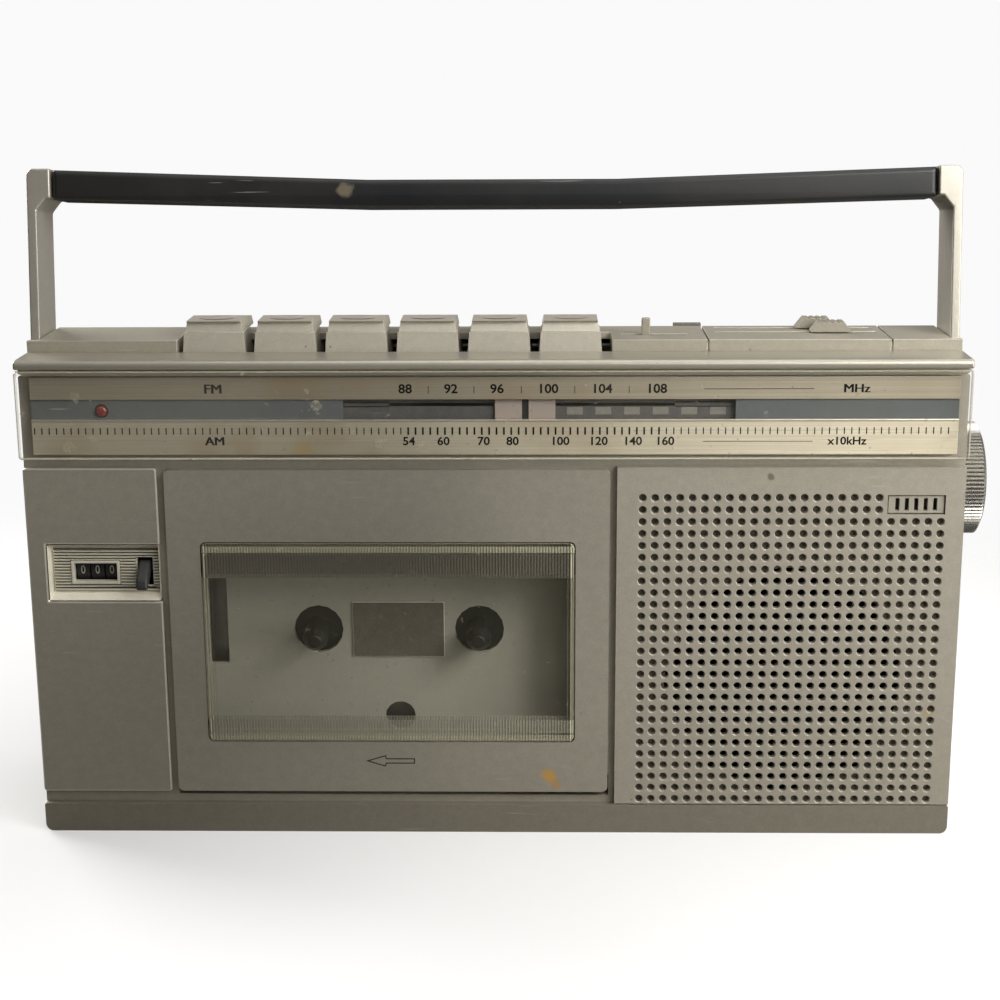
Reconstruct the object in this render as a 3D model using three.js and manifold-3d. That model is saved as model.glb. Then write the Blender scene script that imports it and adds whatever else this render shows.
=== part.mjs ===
// Portable radio cassette recorder: a slim silver cabinet with a tape deck, a speaker, a radio
// dial, a row of piano keys and a swinging carry handle. Millimetres; X to the right, Y to the
// back, Z up; the origin is the centre of the flat underside.
import * as THREE from 'three';
import { mergeVertices } from 'three/addons/utils/BufferGeometryUtils.js';
import Module from 'manifold-3d';

const wasm = await Module();
wasm.setup();

// Cabinet
const HALF_WIDTH = 118;
const PANEL_Y = -28;
const PANEL_THICK = 1.7;
const WALL_FRONT_Y = -26;
const WALL = 2.2;
const PARTING_Y = 6;
const BACK_Y = 28;
const CABINET_TOP = 121;
const REAR_TOP = 124;
const STRIP_TOP = 7.7;
const STRIP_Y = -28.3;
const PANEL_BOTTOM = 11;
const PANEL_TOP = 97.8;
const GAP = 0.3;
const RECESS_X = 115.2;
const RECESS_Y = -14.8;
const RECESS_BOTTOM = 100.5;

// Dial across the top of the front
const LENS_Y = -30.5;
const LENS_THICK = 1.6;
const LENS_BOTTOM = 100.3;
const LENS_TOP = 122.8;
const DIAL_WINDOW = { left: -36.9, right: 60.4, bottom: 110.6, top: 115 };
const POINTER_X = 8.3;
const LED_X = -97.2;
const LED_Z = 112.4;

// Top deck, keys and controls
const SHELF_Z = 125.5;
const DECK_Z = 128.3;
const DECK_SKIN = 1.8;
const DECK_FRONT_Y = -16.8;
const KEY_NAMES = ['pause', 'stop_eject', 'fast_forward', 'rewind', 'play', 'record'];
const KEY_FIRST_X = -70.5;
const KEY_PITCH = 18.05;
const KEY_WIDTH = 16.4;
const KEY_TOP = 133;
const KEY_SHAFT = { y: 2.4, z: 124, r: 1.1 };

// Cassette door, bay and tape drive
const DOOR = { left: -82.5, right: 29.5, bottom: 11.2, top: 97.3 };
const WINDOW = { left: -74.1, right: 21, bottom: 24.9, top: 78.7 };
const HINGE = { y: -24.8, z: 13, r: 0.8 };
const BAY_Y = -12;
const BAY_THICK = 1.4;
const TAKEUP_X = -46.5;
const SUPPLY_X = -4;
const SPINDLE_Z = 50.5;
const CAPSTAN = { x: -48.2, z: 79, r: 1.1 };
const ROLLER = { x: -48.2, z: 89.3, r: 5.4 };
const ARM_PIVOT = { x: -62.2, z: 90 };
const CHASSIS_Y = -4.5;
const MOTOR = { x: 10, z: 82, r: 13 };
const FLYWHEEL_R = 18.5;

// Speaker, microphone, tape counter
const GRILLE = { left: 31.3, right: 118, bottom: 8, top: 98 };
const SPEAKER = { x: 74.9, z: 40.5, r: 32.5 };
const MIC = { x: 106, z: 88.35 };
const COUNTER = { left: -113.4, right: -84.3, bottom: 62.9, top: 78 };
const DIGITS = { x: -101.4, z: 70.2, y: -17.6, r: 7, width: 3.4, pitch: 3.7 };

// Tuning knob, handle, aerial, battery space
const KNOB = { y: -9, z: 91, r: 14.5 };
const PIVOT = { y: -6, z: 113, r: 2.6 };
const ARM_THICK = 2.4;
const ARM_HALF = 8.4;
const HANDLE_TOP = 57;
const GRIP_DEPTH = 8;
const HANDLE_LEAN = -8;
const AERIAL = { x: -104, y: 14.5, z: 123.6 };
const BATTERY = { left: -58.2, right: 48.2, bottom: 8.6, top: 43.4, y: 9.8 };

const group = new THREE.Group();
export default group;

// ---- Solids ----

function solid(geometry) {
  geometry.deleteAttribute('normal');
  geometry.deleteAttribute('uv');
  const merged = mergeVertices(geometry, 1e-4);
  const triVerts = [];
  for (let i = 0; i < merged.index.count; i += 3) {
    const [a, b, c] = [0, 1, 2].map((k) => merged.index.getX(i + k));
    if (a !== b && b !== c && c !== a) triVerts.push(a, b, c);
  }
  return new wasm.Manifold(new wasm.Mesh({
    numProp: 3,
    vertProperties: Float32Array.from(merged.attributes.position.array),
    triVerts: Uint32Array.from(triVerts),
  }));
}

function join(first, ...others) {
  return others.reduce((shape, other) => shape.add(other), first);
}

function cut(first, ...others) {
  return others.reduce((shape, other) => shape.subtract(other), first);
}

function block(x0, x1, y0, y1, z0, z1) {
  const box = new THREE.BoxGeometry(x1 - x0, y1 - y0, z1 - z0);
  box.translate((x0 + x1) / 2, (y0 + y1) / 2, (z0 + z1) / 2);
  return solid(box);
}

function outline(points) {
  return new THREE.Shape(points.map(([a, b]) => new THREE.Vector2(a, b)));
}

function roundedOutline(x0, x1, z0, z1, bottomR, topR = bottomR) {
  const shape = new THREE.Shape();
  shape.moveTo(x0 + bottomR, z0);
  shape.lineTo(x1 - bottomR, z0);
  shape.absarc(x1 - bottomR, z0 + bottomR, bottomR, -Math.PI / 2, 0);
  shape.lineTo(x1, z1 - topR);
  shape.absarc(x1 - topR, z1 - topR, topR, 0, Math.PI / 2);
  shape.lineTo(x0 + topR, z1);
  shape.absarc(x0 + topR, z1 - topR, topR, Math.PI / 2, Math.PI);
  shape.lineTo(x0, z0 + bottomR);
  shape.absarc(x0 + bottomR, z0 + bottomR, bottomR, Math.PI, 1.5 * Math.PI);
  return shape;
}

// A front-view outline (x, z), made into a plate between two depths.
function plate(shape, y0, y1, curveSegments = 4) {
  const geometry = new THREE.ExtrudeGeometry(shape, { depth: y1 - y0, bevelEnabled: false, curveSegments });
  geometry.rotateX(Math.PI / 2);
  geometry.translate(0, y1, 0);
  return solid(geometry);
}

// A side-view outline (y, z), drawn out between two X positions.
function bar(shape, x0, x1, curveSegments = 4) {
  const geometry = new THREE.ExtrudeGeometry(shape, { depth: x1 - x0, bevelEnabled: false, curveSegments });
  const turn = new THREE.Matrix4().makeBasis(
    new THREE.Vector3(0, 1, 0), new THREE.Vector3(0, 0, 1), new THREE.Vector3(1, 0, 0));
  geometry.applyMatrix4(turn);
  geometry.translate(x0, 0, 0);
  return solid(geometry);
}

// A plan-view outline (x, y), drawn up between two heights.
function slab(shape, z0, z1) {
  const geometry = new THREE.ExtrudeGeometry(shape, { depth: z1 - z0, bevelEnabled: false, curveSegments: 4 });
  geometry.translate(0, 0, z0);
  return solid(geometry);
}

function rodX(r, x0, x1, y, z, sides = 16) {
  const geometry = new THREE.CylinderGeometry(r, r, x1 - x0, sides);
  geometry.rotateZ(-Math.PI / 2);
  geometry.translate((x0 + x1) / 2, y, z);
  return solid(geometry);
}

function rodY(r, y0, y1, x, z, sides = 16) {
  const geometry = new THREE.CylinderGeometry(r, r, y1 - y0, sides);
  geometry.translate(x, (y0 + y1) / 2, z);
  return solid(geometry);
}

// A profile of [radius, y] points turned about the Y axis; it is closed on the axis or on itself.
function turned(profile, x, z, sides) {
  const geometry = new THREE.LatheGeometry(profile.map(([r, y]) => new THREE.Vector2(r, y)), sides);
  geometry.translate(x, 0, z);
  return solid(geometry);
}

function bothSides(shape) {
  return join(shape, shape.mirror([1, 0, 0]));
}

function part(name, shape, color, roughness, metalness, place = group) {
  const result = shape.getMesh();
  const geometry = new THREE.BufferGeometry();
  geometry.setAttribute('position', new THREE.BufferAttribute(result.vertProperties, 3));
  geometry.setIndex(new THREE.BufferAttribute(result.triVerts, 1));
  geometry.computeVertexNormals();
  const mesh = new THREE.Mesh(geometry, new THREE.MeshStandardMaterial({ color, roughness, metalness }));
  mesh.name = name;
  place.add(mesh);
}

const SILVER = 0x9c9891;
const LIGHT_GREY = 0xb4b0a4;
const BLACK = 0x1c1c1e;
const STEEL = 0xa9abad;

// ---- Cabinet shells ----

function frontCabinet() {
  const edge = HALF_WIDTH + 1;
  const inside = WALL_FRONT_Y + WALL;
  const wallCut = [WALL_FRONT_Y - 0.1, inside + 0.1];
  const shell = cut(
    join(
      plate(roundedOutline(-HALF_WIDTH, HALF_WIDTH, 0, CABINET_TOP, 2, 0.5), WALL_FRONT_Y, PARTING_Y),
      plate(roundedOutline(-HALF_WIDTH, HALF_WIDTH, 0, STRIP_TOP, 2, 0.5), STRIP_Y, WALL_FRONT_Y + 0.5)),
    block(-HALF_WIDTH + WALL, HALF_WIDTH - WALL, inside, PARTING_Y + 1, WALL, 98),
    block(-113, 113, inside, PARTING_Y + 1, 97.9, CABINET_TOP - 2),
    bothSides(block(RECESS_X, edge, RECESS_Y, PARTING_Y + 1, RECESS_BOTTOM, CABINET_TOP + 1)));
  return join(
    cut(
      shell,
      block(-81.3, 28.3, ...wallCut, 10, 96),
      block(DOOR.left - GAP, DOOR.right + GAP, ...wallCut, 9.6, 15.5),
      rodY(31, ...wallCut, SPEAKER.x, SPEAKER.z, 32),
      block(COUNTER.left - 0.6, COUNTER.right - GAP, ...wallCut, COUNTER.bottom - 0.5, COUNTER.top + 0.5),
      block(-26, 46, ...wallCut, 110.8, 114.7),
      rodY(2, ...wallCut, LED_X, LED_Z, 12),
      rodY(5.6, ...wallCut, MIC.x, MIC.z, 16),
      block(-80.5, 31, -21, -1.5, CABINET_TOP - 3, CABINET_TOP + 1),
      block(33, 100, -11.5, 4.6, CABINET_TOP - 3, CABINET_TOP + 1),
      rodX(4.2, HALF_WIDTH - 4, edge, KNOB.y, KNOB.z),
      block(-edge, -HALF_WIDTH + 4, -19, -7, 20, 60)),
    bothSides(rodX(PIVOT.r, 114, HALF_WIDTH - GAP, PIVOT.y, PIVOT.z)));
}

function rearCabinet() {
  const start = PARTING_Y + GAP;
  const side = outline([[start, 0], [25.5, 0], [27.3, 0.7], [BACK_Y, 2.5], [BACK_Y, 116], [22, REAR_TOP],
    [start, REAR_TOP]]);
  return cut(
    join(
      cut(
        bar(side, -HALF_WIDTH, HALF_WIDTH),
        block(-HALF_WIDTH + WALL, HALF_WIDTH - WALL, start - 1, BACK_Y - WALL, WALL, 98),
        block(-113, 113, start - 1, BACK_Y - WALL, 97.9, 117.4),
        bothSides(block(RECESS_X, HALF_WIDTH + 1, start - 1, BACK_Y + 1, RECESS_BOTTOM, REAR_TOP + 1))),
      block(BATTERY.left - 1.6, BATTERY.right + 1.6, 8.2, 26, BATTERY.bottom - 1.6, BATTERY.top + 1.6)),
    block(BATTERY.left, BATTERY.right, BATTERY.y, BACK_Y + 1, BATTERY.bottom, BATTERY.top),
    block(-110, HALF_WIDTH, 10.8, 18.2, 120.2, REAR_TOP + 1));
}

function topRim() {
  return bar(outline([[-30.3, 123.1], [-30.3, 124.7], [-29.5, SHELF_Z], [-17.1, SHELF_Z], [-17.1, 121.3],
    [-26.5, 121.3], [-26.5, 123.1]]), -HALF_WIDTH, HALF_WIDTH);
}

function topDeck() {
  const bottom = CABINET_TOP + GAP;
  const skin = DECK_Z - DECK_SKIN;
  const plan = outline([[-117.8, DECK_FRONT_Y], [-79.7, DECK_FRONT_Y], [-79.7, -3.9], [30.2, -3.9],
    [30.2, DECK_FRONT_Y], [117.8, DECK_FRONT_Y], [117.8, RECESS_Y], [RECESS_X, RECESS_Y], [RECESS_X, PARTING_Y],
    [-RECESS_X, PARTING_Y], [-RECESS_X, RECESS_Y], [-117.8, RECESS_Y]]);
  return cut(
    slab(plan, bottom, DECK_Z),
    block(-113, -84, -14.9, 4.5, bottom - 1, skin),
    block(-81, 31.4, -5, 5, bottom - 1, skin),
    block(34.4, 113, -14.9, 4.6, bottom - 1, skin),
    block(32, 35, -14.9, -1, bottom - 1, skin),
    rodX(KEY_SHAFT.r + GAP, -85, 35, KEY_SHAFT.y, KEY_SHAFT.z, 12),
    block(33, 49.4, -9.4, -7, skin - 1, DECK_Z + 1),
    block(57.2, 98.4, -5.8, -3.8, skin - 1, DECK_Z + 1),
    block(57.2, 98.4, 1, 3, skin - 1, DECK_Z + 1));
}

part('front_cabinet', frontCabinet(), SILVER, 0.42, 0.3);
part('rear_cabinet', rearCabinet(), SILVER, 0.45, 0.3);
part('top_rim', topRim(), SILVER, 0.3, 0.6);
part('top_deck', topDeck(), SILVER, 0.42, 0.3);

// ---- Front panels ----

const panelBack = PANEL_Y + PANEL_THICK;

function counterPanel() {
  return cut(
    plate(roundedOutline(-HALF_WIDTH, COUNTER.right, PANEL_BOTTOM, PANEL_TOP, 0.8), PANEL_Y, panelBack, 2),
    block(COUNTER.left, COUNTER.right + 1, PANEL_Y - 1, panelBack + 1, COUNTER.bottom, COUNTER.top));
}

function speakerGrille() {
  return cut(
    plate(roundedOutline(GRILLE.left, GRILLE.right, GRILLE.bottom, GRILLE.top, 0.8), PANEL_Y, panelBack, 2),
    block(MIC.x - 7.2, MIC.x + 7.2, PANEL_Y - 1, panelBack + 1, MIC.z - 2.5, MIC.z + 2.5));
}

function micPlate() {
  const slots = [-2, -1, 0, 1, 2].map((i) => {
    const x = MIC.x + i * 2.35;
    return block(x - 0.5, x + 0.5, PANEL_Y, panelBack, MIC.z - 1.6, MIC.z + 1.6);
  });
  return cut(
    block(MIC.x - 6.9, MIC.x + 6.9, PANEL_Y + 0.5, panelBack, MIC.z - 2.2, MIC.z + 2.2),
    ...slots);
}

part('counter_panel', counterPanel(), SILVER, 0.42, 0.3);
part('speaker_grille', speakerGrille(), SILVER, 0.42, 0.3);
part('mic_plate', micPlate(), LIGHT_GREY, 0.5, 0);
part('microphone', rodY(5, -25.6, -20.5, MIC.x, MIC.z), STEEL, 0.4, 0.8);

// ---- Radio dial ----

function dialLens() {
  const back = LENS_Y + LENS_THICK;
  return bar(outline([[LENS_Y + 0.6, LENS_BOTTOM], [back, LENS_BOTTOM], [back, LENS_TOP],
    [LENS_Y + 0.6, LENS_TOP], [LENS_Y, LENS_TOP - 0.6], [LENS_Y, LENS_BOTTOM + 0.6]]), -HALF_WIDTH, HALF_WIDTH);
}

function dialScale() {
  return cut(
    block(-115.5, 115.5, -28.2, -27.2, 101, CABINET_TOP),
    block(DIAL_WINDOW.left, DIAL_WINDOW.right, -29, -27, DIAL_WINDOW.bottom, DIAL_WINDOW.top),
    rodY(1.9, -29, -27, LED_X, LED_Z, 12));
}

function dialPointer() {
  return join(
    block(POINTER_X - 7.5, POINTER_X + 7.5, -26.9, WALL_FRONT_Y - 0.25, 109.4, 116.2),
    block(POINTER_X - 1.5, POINTER_X + 1.5, -26.5, -22, 111.5, 114));
}

part('dial_lens', dialLens(), 0xd8d6c4, 0.15, 0);
part('dial_scale', dialScale(), 0xb7ae93, 0.35, 0.5);
part('dial_pointer', dialPointer(), 0xb9ae92, 0.5, 0);
part('record_led', rodY(1.5, -28.5, -22, LED_X, LED_Z, 12), 0xa02020, 0.2, 0);

// ---- Tuning drive ----

function tuningKnob() {
  const { y, z, r } = KNOB;
  return cut(
    rodX(r, HALF_WIDTH + 0.4, HALF_WIDTH + 6.6, y, z, 48),
    rodX(r - 1.5, HALF_WIDTH, HALF_WIDTH + 1.6, y, z, 24),
    rodX(3 + GAP, HALF_WIDTH, HALF_WIDTH + 4.5, y, z));
}

part('tuning_knob', tuningKnob(), 0xb9b8b4, 0.25, 0.9);
part('tuning_shaft', join(
  rodX(3, 109.5, HALF_WIDTH + 4, KNOB.y, KNOB.z, 12),
  rodX(10, 109.5, 112, KNOB.y, KNOB.z, 24)), STEEL, 0.3, 0.9);
part('tuning_capacitor', block(89, 109.2, -19, 1, 81, 101), 0xd6d2c0, 0.4, 0);

// ---- Slide controls on the deck ----

function sliderCap(x, y) {
  const base = DECK_Z + GAP;
  return join(
    plate(outline([[x - 5.2, base], [x + 5.2, base], [x + 3.2, base + 2.6], [x - 3.2, base + 2.6]]), y - 2.4, y + 2.4),
    block(x - 1.5, x + 1.5, y - 0.7, y + 0.7, 119, base + 0.5));
}

part('function_lever', block(37.9, 40.1, -8.9, -7.5, 118.9, 132.6), LIGHT_GREY, 0.4, 0.2);
part('volume_slider', sliderCap(86.5, -4.8), LIGHT_GREY, 0.4, 0.2);
part('tone_slider', sliderCap(83.5, 2), LIGHT_GREY, 0.4, 0.2);
part('slider_board', join(
  block(35, 104, -11.4, 4.5, 112, 113.6),
  block(35, 51, -10.6, -5.8, 113.5, 118.5),
  block(57, 101, -6.6, -3, 113.5, 118.5),
  block(57, 101, 0.2, 3.8, 113.5, 118.5)), 0x5a4a2c, 0.6, 0);

// ---- Piano keys on their shaft ----

function pianoKey(x) {
  const { y, z, r } = KEY_SHAFT;
  const side = outline([[-16.2, 119.5], [-16.2, KEY_TOP - 0.6], [-15.6, KEY_TOP], [-4.9, KEY_TOP],
    [-4.4, KEY_TOP - 0.6], [-4.4, 126], [y, 126], [y, 122.4], [-13.4, 122.4], [-13.4, 119.5]]);
  const half = KEY_WIDTH / 2;
  return cut(
    join(bar(side, x - half, x + half), rodX(2.1, x - half, x + half, y, z)),
    rodX(r + GAP, x - half - 1, x + half + 1, y, z, 12));
}

KEY_NAMES.forEach((name, i) => {
  part(`key_${name}`, pianoKey(KEY_FIRST_X + i * KEY_PITCH), LIGHT_GREY, 0.42, 0.3);
});
part('key_shaft', rodX(KEY_SHAFT.r, -83.8, 34.2, KEY_SHAFT.y, KEY_SHAFT.z, 12), STEEL, 0.3, 0.9);

// ---- Cassette door with its window and holder ----

function cassetteDoor() {
  const lug = (x) => block(x, x + 4, -26.5, -23.4, 11.6, 14.4);
  return cut(
    join(
      plate(roundedOutline(DOOR.left, DOOR.right, DOOR.bottom, DOOR.top, 1.5), PANEL_Y, WALL_FRONT_Y),
      lug(-78), lug(21)),
    plate(roundedOutline(WINDOW.left, WINDOW.right, WINDOW.bottom, WINDOW.top, 1.5), PANEL_Y - 1, WALL_FRONT_Y + 1),
    rodX(HINGE.r + GAP, -79, 26, HINGE.y, HINGE.z, 12));
}

function doorWindow() {
  const inset = (by) => roundedOutline(WINDOW.left + by, WINDOW.right - by, WINDOW.bottom + by, WINDOW.top - by, 1.5);
  return join(
    plate(inset(GAP), PANEL_Y - 0.2, -25.6),
    plate(inset(-2.5), WALL_FRONT_Y + GAP, -24.9));
}

function cassetteHolder() {
  const front = -24.6;
  return join(
    block(-79, -76.8, front, -15, 17.4, 88),
    block(25.3, 26.9, front, -15, 17.4, 88),
    block(-79, 26.9, front, -15, 17.4, 19.4),
    block(-79, -76.8, -25.7, front, 17.4, 88),
    block(25.3, 26.9, -25.7, front, 17.4, 88),
    block(-79, 26.9, -25.7, front, 17.4, 21));
}

part('cassette_door', cassetteDoor(), SILVER, 0.42, 0.3);
part('door_window', doorWindow(), 0xcfccb0, 0.12, 0);
part('cassette_holder', cassetteHolder(), 0x6d6b62, 0.5, 0);
part('door_hinge_rod', rodX(HINGE.r, -80.4, 27.6, HINGE.y, HINGE.z, 12), STEEL, 0.3, 0.9);

// ---- Cassette bay and tape drive ----

function cassetteBay() {
  const back = BAY_Y + BAY_THICK;
  const hole = (r, x, z, sides = 16) => rodY(r, BAY_Y - 1, back + 1, x, z, sides);
  return cut(
    join(
      block(-81, 28.2, BAY_Y, back, 12.2, 97.5),
      block(-81, -79.6, -25.6, BAY_Y + 0.1, 12.2, 95.7),
      block(27.2, 28.2, -25.6, BAY_Y + 0.1, 12.2, 95.7)),
    hole(6.5, TAKEUP_X, SPINDLE_Z),
    hole(6.5, SUPPLY_X, SPINDLE_Z),
    hole(3, CAPSTAN.x, CAPSTAN.z, 12),
    hole(4, -25.25, 26.2),
    block(-75.5, -70.6, BAY_Y - 1, back + 1, 41, 64.4),
    block(-70, 14, BAY_Y - 1, back + 1, 81.8, 98),
    block(-82, 29, -27, HINGE.y + 1.2, 11, HINGE.z + 1.3));
}

function reelSpindle(x) {
  return turned([[0, -23], [1.6, -23], [3.2, -20.5], [3.2, -10.6], [13, -10.2], [13, -6.6], [1.6, -6.2],
    [1.6, -5], [0, -5]], x, SPINDLE_Z, 18);
}

function chassis() {
  return cut(
    block(-78, 26, CHASSIS_Y, CHASSIS_Y + 1.2, 14, 100),
    rodY(2, CHASSIS_Y - 1, CHASSIS_Y + 2, CAPSTAN.x, CAPSTAN.z, 12));
}

function flywheel() {
  const { x, z, r } = CAPSTAN;
  return turned([[0, -22.5], [r, -22.5], [r, -2.6], [FLYWHEEL_R, -2.6], [FLYWHEEL_R, 2.2], [0, 2.2]], x, z, 32);
}

function pinchArm() {
  const { x, z } = ARM_PIVOT;
  return join(
    block(x - 2.5, ROLLER.x + 2.5, -11.7, -10.5, z - 2.6, z + 2.4),
    rodY(1, -22.3, -11, ROLLER.x, ROLLER.z, 12));
}

function pinchRoller() {
  return cut(
    rodY(ROLLER.r, -21.8, -14, ROLLER.x, ROLLER.z, 24),
    rodY(1.4, -23, -13, ROLLER.x, ROLLER.z, 12));
}

function beltOutline(grow) {
  const shape = new THREE.Shape();
  const big = FLYWHEEL_R + grow;
  const small = 4 + grow;
  const [dx, dz] = [MOTOR.x - CAPSTAN.x, MOTOR.z - CAPSTAN.z];
  const lean = Math.atan2(dz, dx);
  const wrap = Math.acos((big - small) / Math.hypot(dx, dz));
  shape.absarc(CAPSTAN.x, CAPSTAN.z, big, lean + wrap, lean - wrap + 2 * Math.PI);
  shape.absarc(MOTOR.x, MOTOR.z, small, lean - wrap, lean + wrap);
  return shape;
}

function driveBelt() {
  const shape = beltOutline(1.4);
  shape.holes.push(beltOutline(GAP));
  return plate(shape, -0.9, 0.9, 14);
}

part('cassette_bay', cassetteBay(), LIGHT_GREY, 0.5, 0);
part('takeup_spindle', reelSpindle(TAKEUP_X), 0x3a3a38, 0.4, 0);
part('supply_spindle', reelSpindle(SUPPLY_X), 0x3a3a38, 0.4, 0);
part('mechanism_chassis', chassis(), STEEL, 0.4, 0.9);
part('flywheel', flywheel(), 0xb09a62, 0.35, 0.9);
part('motor', rodY(MOTOR.r, 3, 15.5, MOTOR.x, MOTOR.z, 24), STEEL, 0.35, 0.9);
part('motor_pulley', turned([[0, -2.4], [4, -2.4], [4, 2], [1, 2], [1, 2.6], [0, 2.6]], MOTOR.x, MOTOR.z, 16),
  0xb09a62, 0.3, 0.9);
part('drive_belt', driveBelt(), BLACK, 0.8, 0);
part('head_bridge', block(-44, 12, -9.8, -8.6, 84.2, 95.6), STEEL, 0.35, 0.9);
part('record_play_head', block(-31.4, -19.1, -23, -10.1, 87.6, 95), 0xc9c9c6, 0.2, 0.95);
part('erase_head', block(-7.6, -1.8, -22, -10.1, 88, 94.4), BLACK, 0.4, 0);
part('pinch_arm', pinchArm(), STEEL, 0.35, 0.9);
part('pinch_roller', pinchRoller(), BLACK, 0.8, 0);

// ---- Tape counter ----

function counterFrame() {
  const { x, y, z, r, width, pitch } = DIGITS;
  const half = pitch + width / 2 + GAP;
  const cheek = (x0) => bar(outline([[-24.2, z - 4], [y + 3, z - 4], [y + 3, z + 4], [-24.2, z + 4]]), x0, x0 + 1.4);
  return join(
    cut(
      block(COUNTER.left + GAP, COUNTER.right - 1, -25.4, -24, COUNTER.bottom + 0.2, COUNTER.top - 0.2),
      block(x - 5.4, x + 5.4, -27, -23, z - 2.4, z + 2.4),
      block(-90.8, -86.6, -27, -23, 64.6, 74.2)),
    cheek(x - half - 1.4),
    cheek(x + half),
    rodX(1.2, x - half - 0.5, x + half + 0.5, y, z, 12));
}

function digitWheel(x) {
  const { y, z, r, width } = DIGITS;
  return cut(
    rodX(r - GAP - 0.3, x - width / 2, x + width / 2, y, z, 20),
    rodX(1.6, x - width, x + width, y, z, 12));
}

part('counter_frame', counterFrame(), LIGHT_GREY, 0.5, 0);
['hundreds', 'tens', 'units'].forEach((name, i) => {
  part(`counter_wheel_${name}`, digitWheel(DIGITS.x + (i - 1) * DIGITS.pitch), BLACK, 0.5, 0);
});
part('reset_lever', bar(outline([[-21.5, 73.4], [-26, 73.2], [-31, 69.6], [-31.6, 67.2], [-30.4, 66.6],
  [-25.4, 69.6], [-21.5, 70.2]]), -90.2, -87.3), 0x4a4a4a, 0.45, 0);

// ---- Speaker ----

part('speaker_basket', turned([[31, -23.4], [SPEAKER.r, -23.4], [SPEAKER.r, -21.8], [18, -9], [17, -9],
  [17, -2], [0, -2], [0, -8.4], [13, -8.4], [15, -10.2], [29.5, -21.4], [31, -23.4]], SPEAKER.x, SPEAKER.z, 32), STEEL, 0.4, 0.8);
part('speaker_cone', turned([[0, -13.4], [7.5, -12.6], [27.8, -22.6], [29.2, -22.6], [29.2, -22.1], [28, -21.9],
  [13.4, -11.4], [7, -9.6], [0, -9.6]], SPEAKER.x, SPEAKER.z, 32), 0x26262a, 0.8, 0);

// ---- Electronics ----

function circuitBoard() {
  const canister = (x, z, r, h) => rodY(r, 17.8, 18 + h, x, z, 12);
  return join(
    block(-100, 100, 16.4, 18, 48, 112),
    canister(-80, 60, 4, 6), canister(-62, 58, 3, 6), canister(-70, 74, 5, 6.5), canister(60, 60, 5, 6.5),
    canister(76, 66, 3, 6), canister(84, 56, 4, 6),
    block(-30, -8, 17.8, 21.5, 66, 73),
    block(20, 28, 17.8, 24.5, 96, 104), block(34, 42, 17.8, 24.5, 96, 104), block(48, 56, 17.8, 24.5, 96, 104));
}

function jackBlock() {
  const hole = (r, z) => rodX(r, -118, -106, -13, z, 12);
  return cut(block(-117.7, -104, -18.7, -7.3, 20.3, 59.7), hole(1.8, 54), hole(1.8, 46), hole(1.3, 38.5), hole(2.8, 28));
}

part('circuit_board', circuitBoard(), 0x6a5a30, 0.6, 0);
part('jack_block', jackBlock(), BLACK, 0.5, 0);

// ---- Battery door, hinged on its lower edge ----

part('battery_door', cut(
  block(BATTERY.left + GAP, BATTERY.right - GAP, 26.3, BACK_Y, BATTERY.bottom + 0.7, BATTERY.top - GAP),
  block(-13, 3, 27.2, BACK_Y + 1, BATTERY.top - 7, BATTERY.top - 3)), SILVER, 0.45, 0.3);

// ---- Carry handle, turned back about its pivots ----

const handle = new THREE.Group();
handle.position.set(0, PIVOT.y, PIVOT.z);
handle.rotation.x = THREE.MathUtils.degToRad(HANDLE_LEAN);
group.add(handle);

// One side arm with its corner; upright, measured from the pivot.
function handleArm() {
  const out = HALF_WIDTH;
  const inner = out - ARM_THICK;
  const low = HANDLE_TOP - GRIP_DEPTH;
  const corner = outline([[inner, -9], [out, -9], [out, HANDLE_TOP - 1.2], [out - 1.2, HANDLE_TOP],
    [112, HANDLE_TOP], [112, low + 0.6], [113.2, low + 0.6], [inner, low - 2.4]]);
  const side = new THREE.Shape();
  side.moveTo(-ARM_HALF, 0);
  side.absarc(0, 0, ARM_HALF, Math.PI, 2 * Math.PI);
  side.lineTo(ARM_HALF, HANDLE_TOP + 1);
  side.lineTo(-ARM_HALF, HANDLE_TOP + 1);
  return cut(
    plate(corner, -ARM_HALF, ARM_HALF).intersect(bar(side, 100, 130, 10)),
    rodX(PIVOT.r + GAP, inner - 1, out + 1, 0, 0));
}

// The grip: its middle sags, and its front and rear edges are rounded.
function handleGrip() {
  const steps = 14;
  const [left, right] = [-110.6, 110.7];
  const edge = (t, drop, base) => [left + (right - left) * t, base - drop * Math.sin(Math.PI * t)];
  const stops = Array.from({ length: steps + 1 }, (_, i) => i / steps);
  const top = stops.map((t) => edge(t, 3, HANDLE_TOP - 1.3));
  const low = stops.map((t) => edge(1 - t, 2.4, HANDLE_TOP - GRIP_DEPTH + 1.2));
  const geometry = new THREE.ExtrudeGeometry(outline([...low.reverse(), ...top.reverse()]), {
    depth: 13, bevelEnabled: true, bevelThickness: 1.4, bevelSize: 1, bevelSegments: 2,
  });
  geometry.rotateX(Math.PI / 2);
  geometry.translate(0, 6.5, 0);
  return solid(geometry);
}

part('handle_arm_left', handleArm().mirror([1, 0, 0]), STEEL, 0.35, 0.7, handle);
part('handle_arm_right', handleArm(), STEEL, 0.35, 0.7, handle);
part('handle_grip', handleGrip(), BLACK, 0.4, 0, handle);

// ---- Telescopic aerial, folded into its groove ----

function tube(outer, inner, x0, x1, sides) {
  const { y, z } = AERIAL;
  return cut(rodX(outer, x0, x1, y, z, sides), rodX(inner, x0 + 1.5, x1 + 1, y, z, sides));
}

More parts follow.
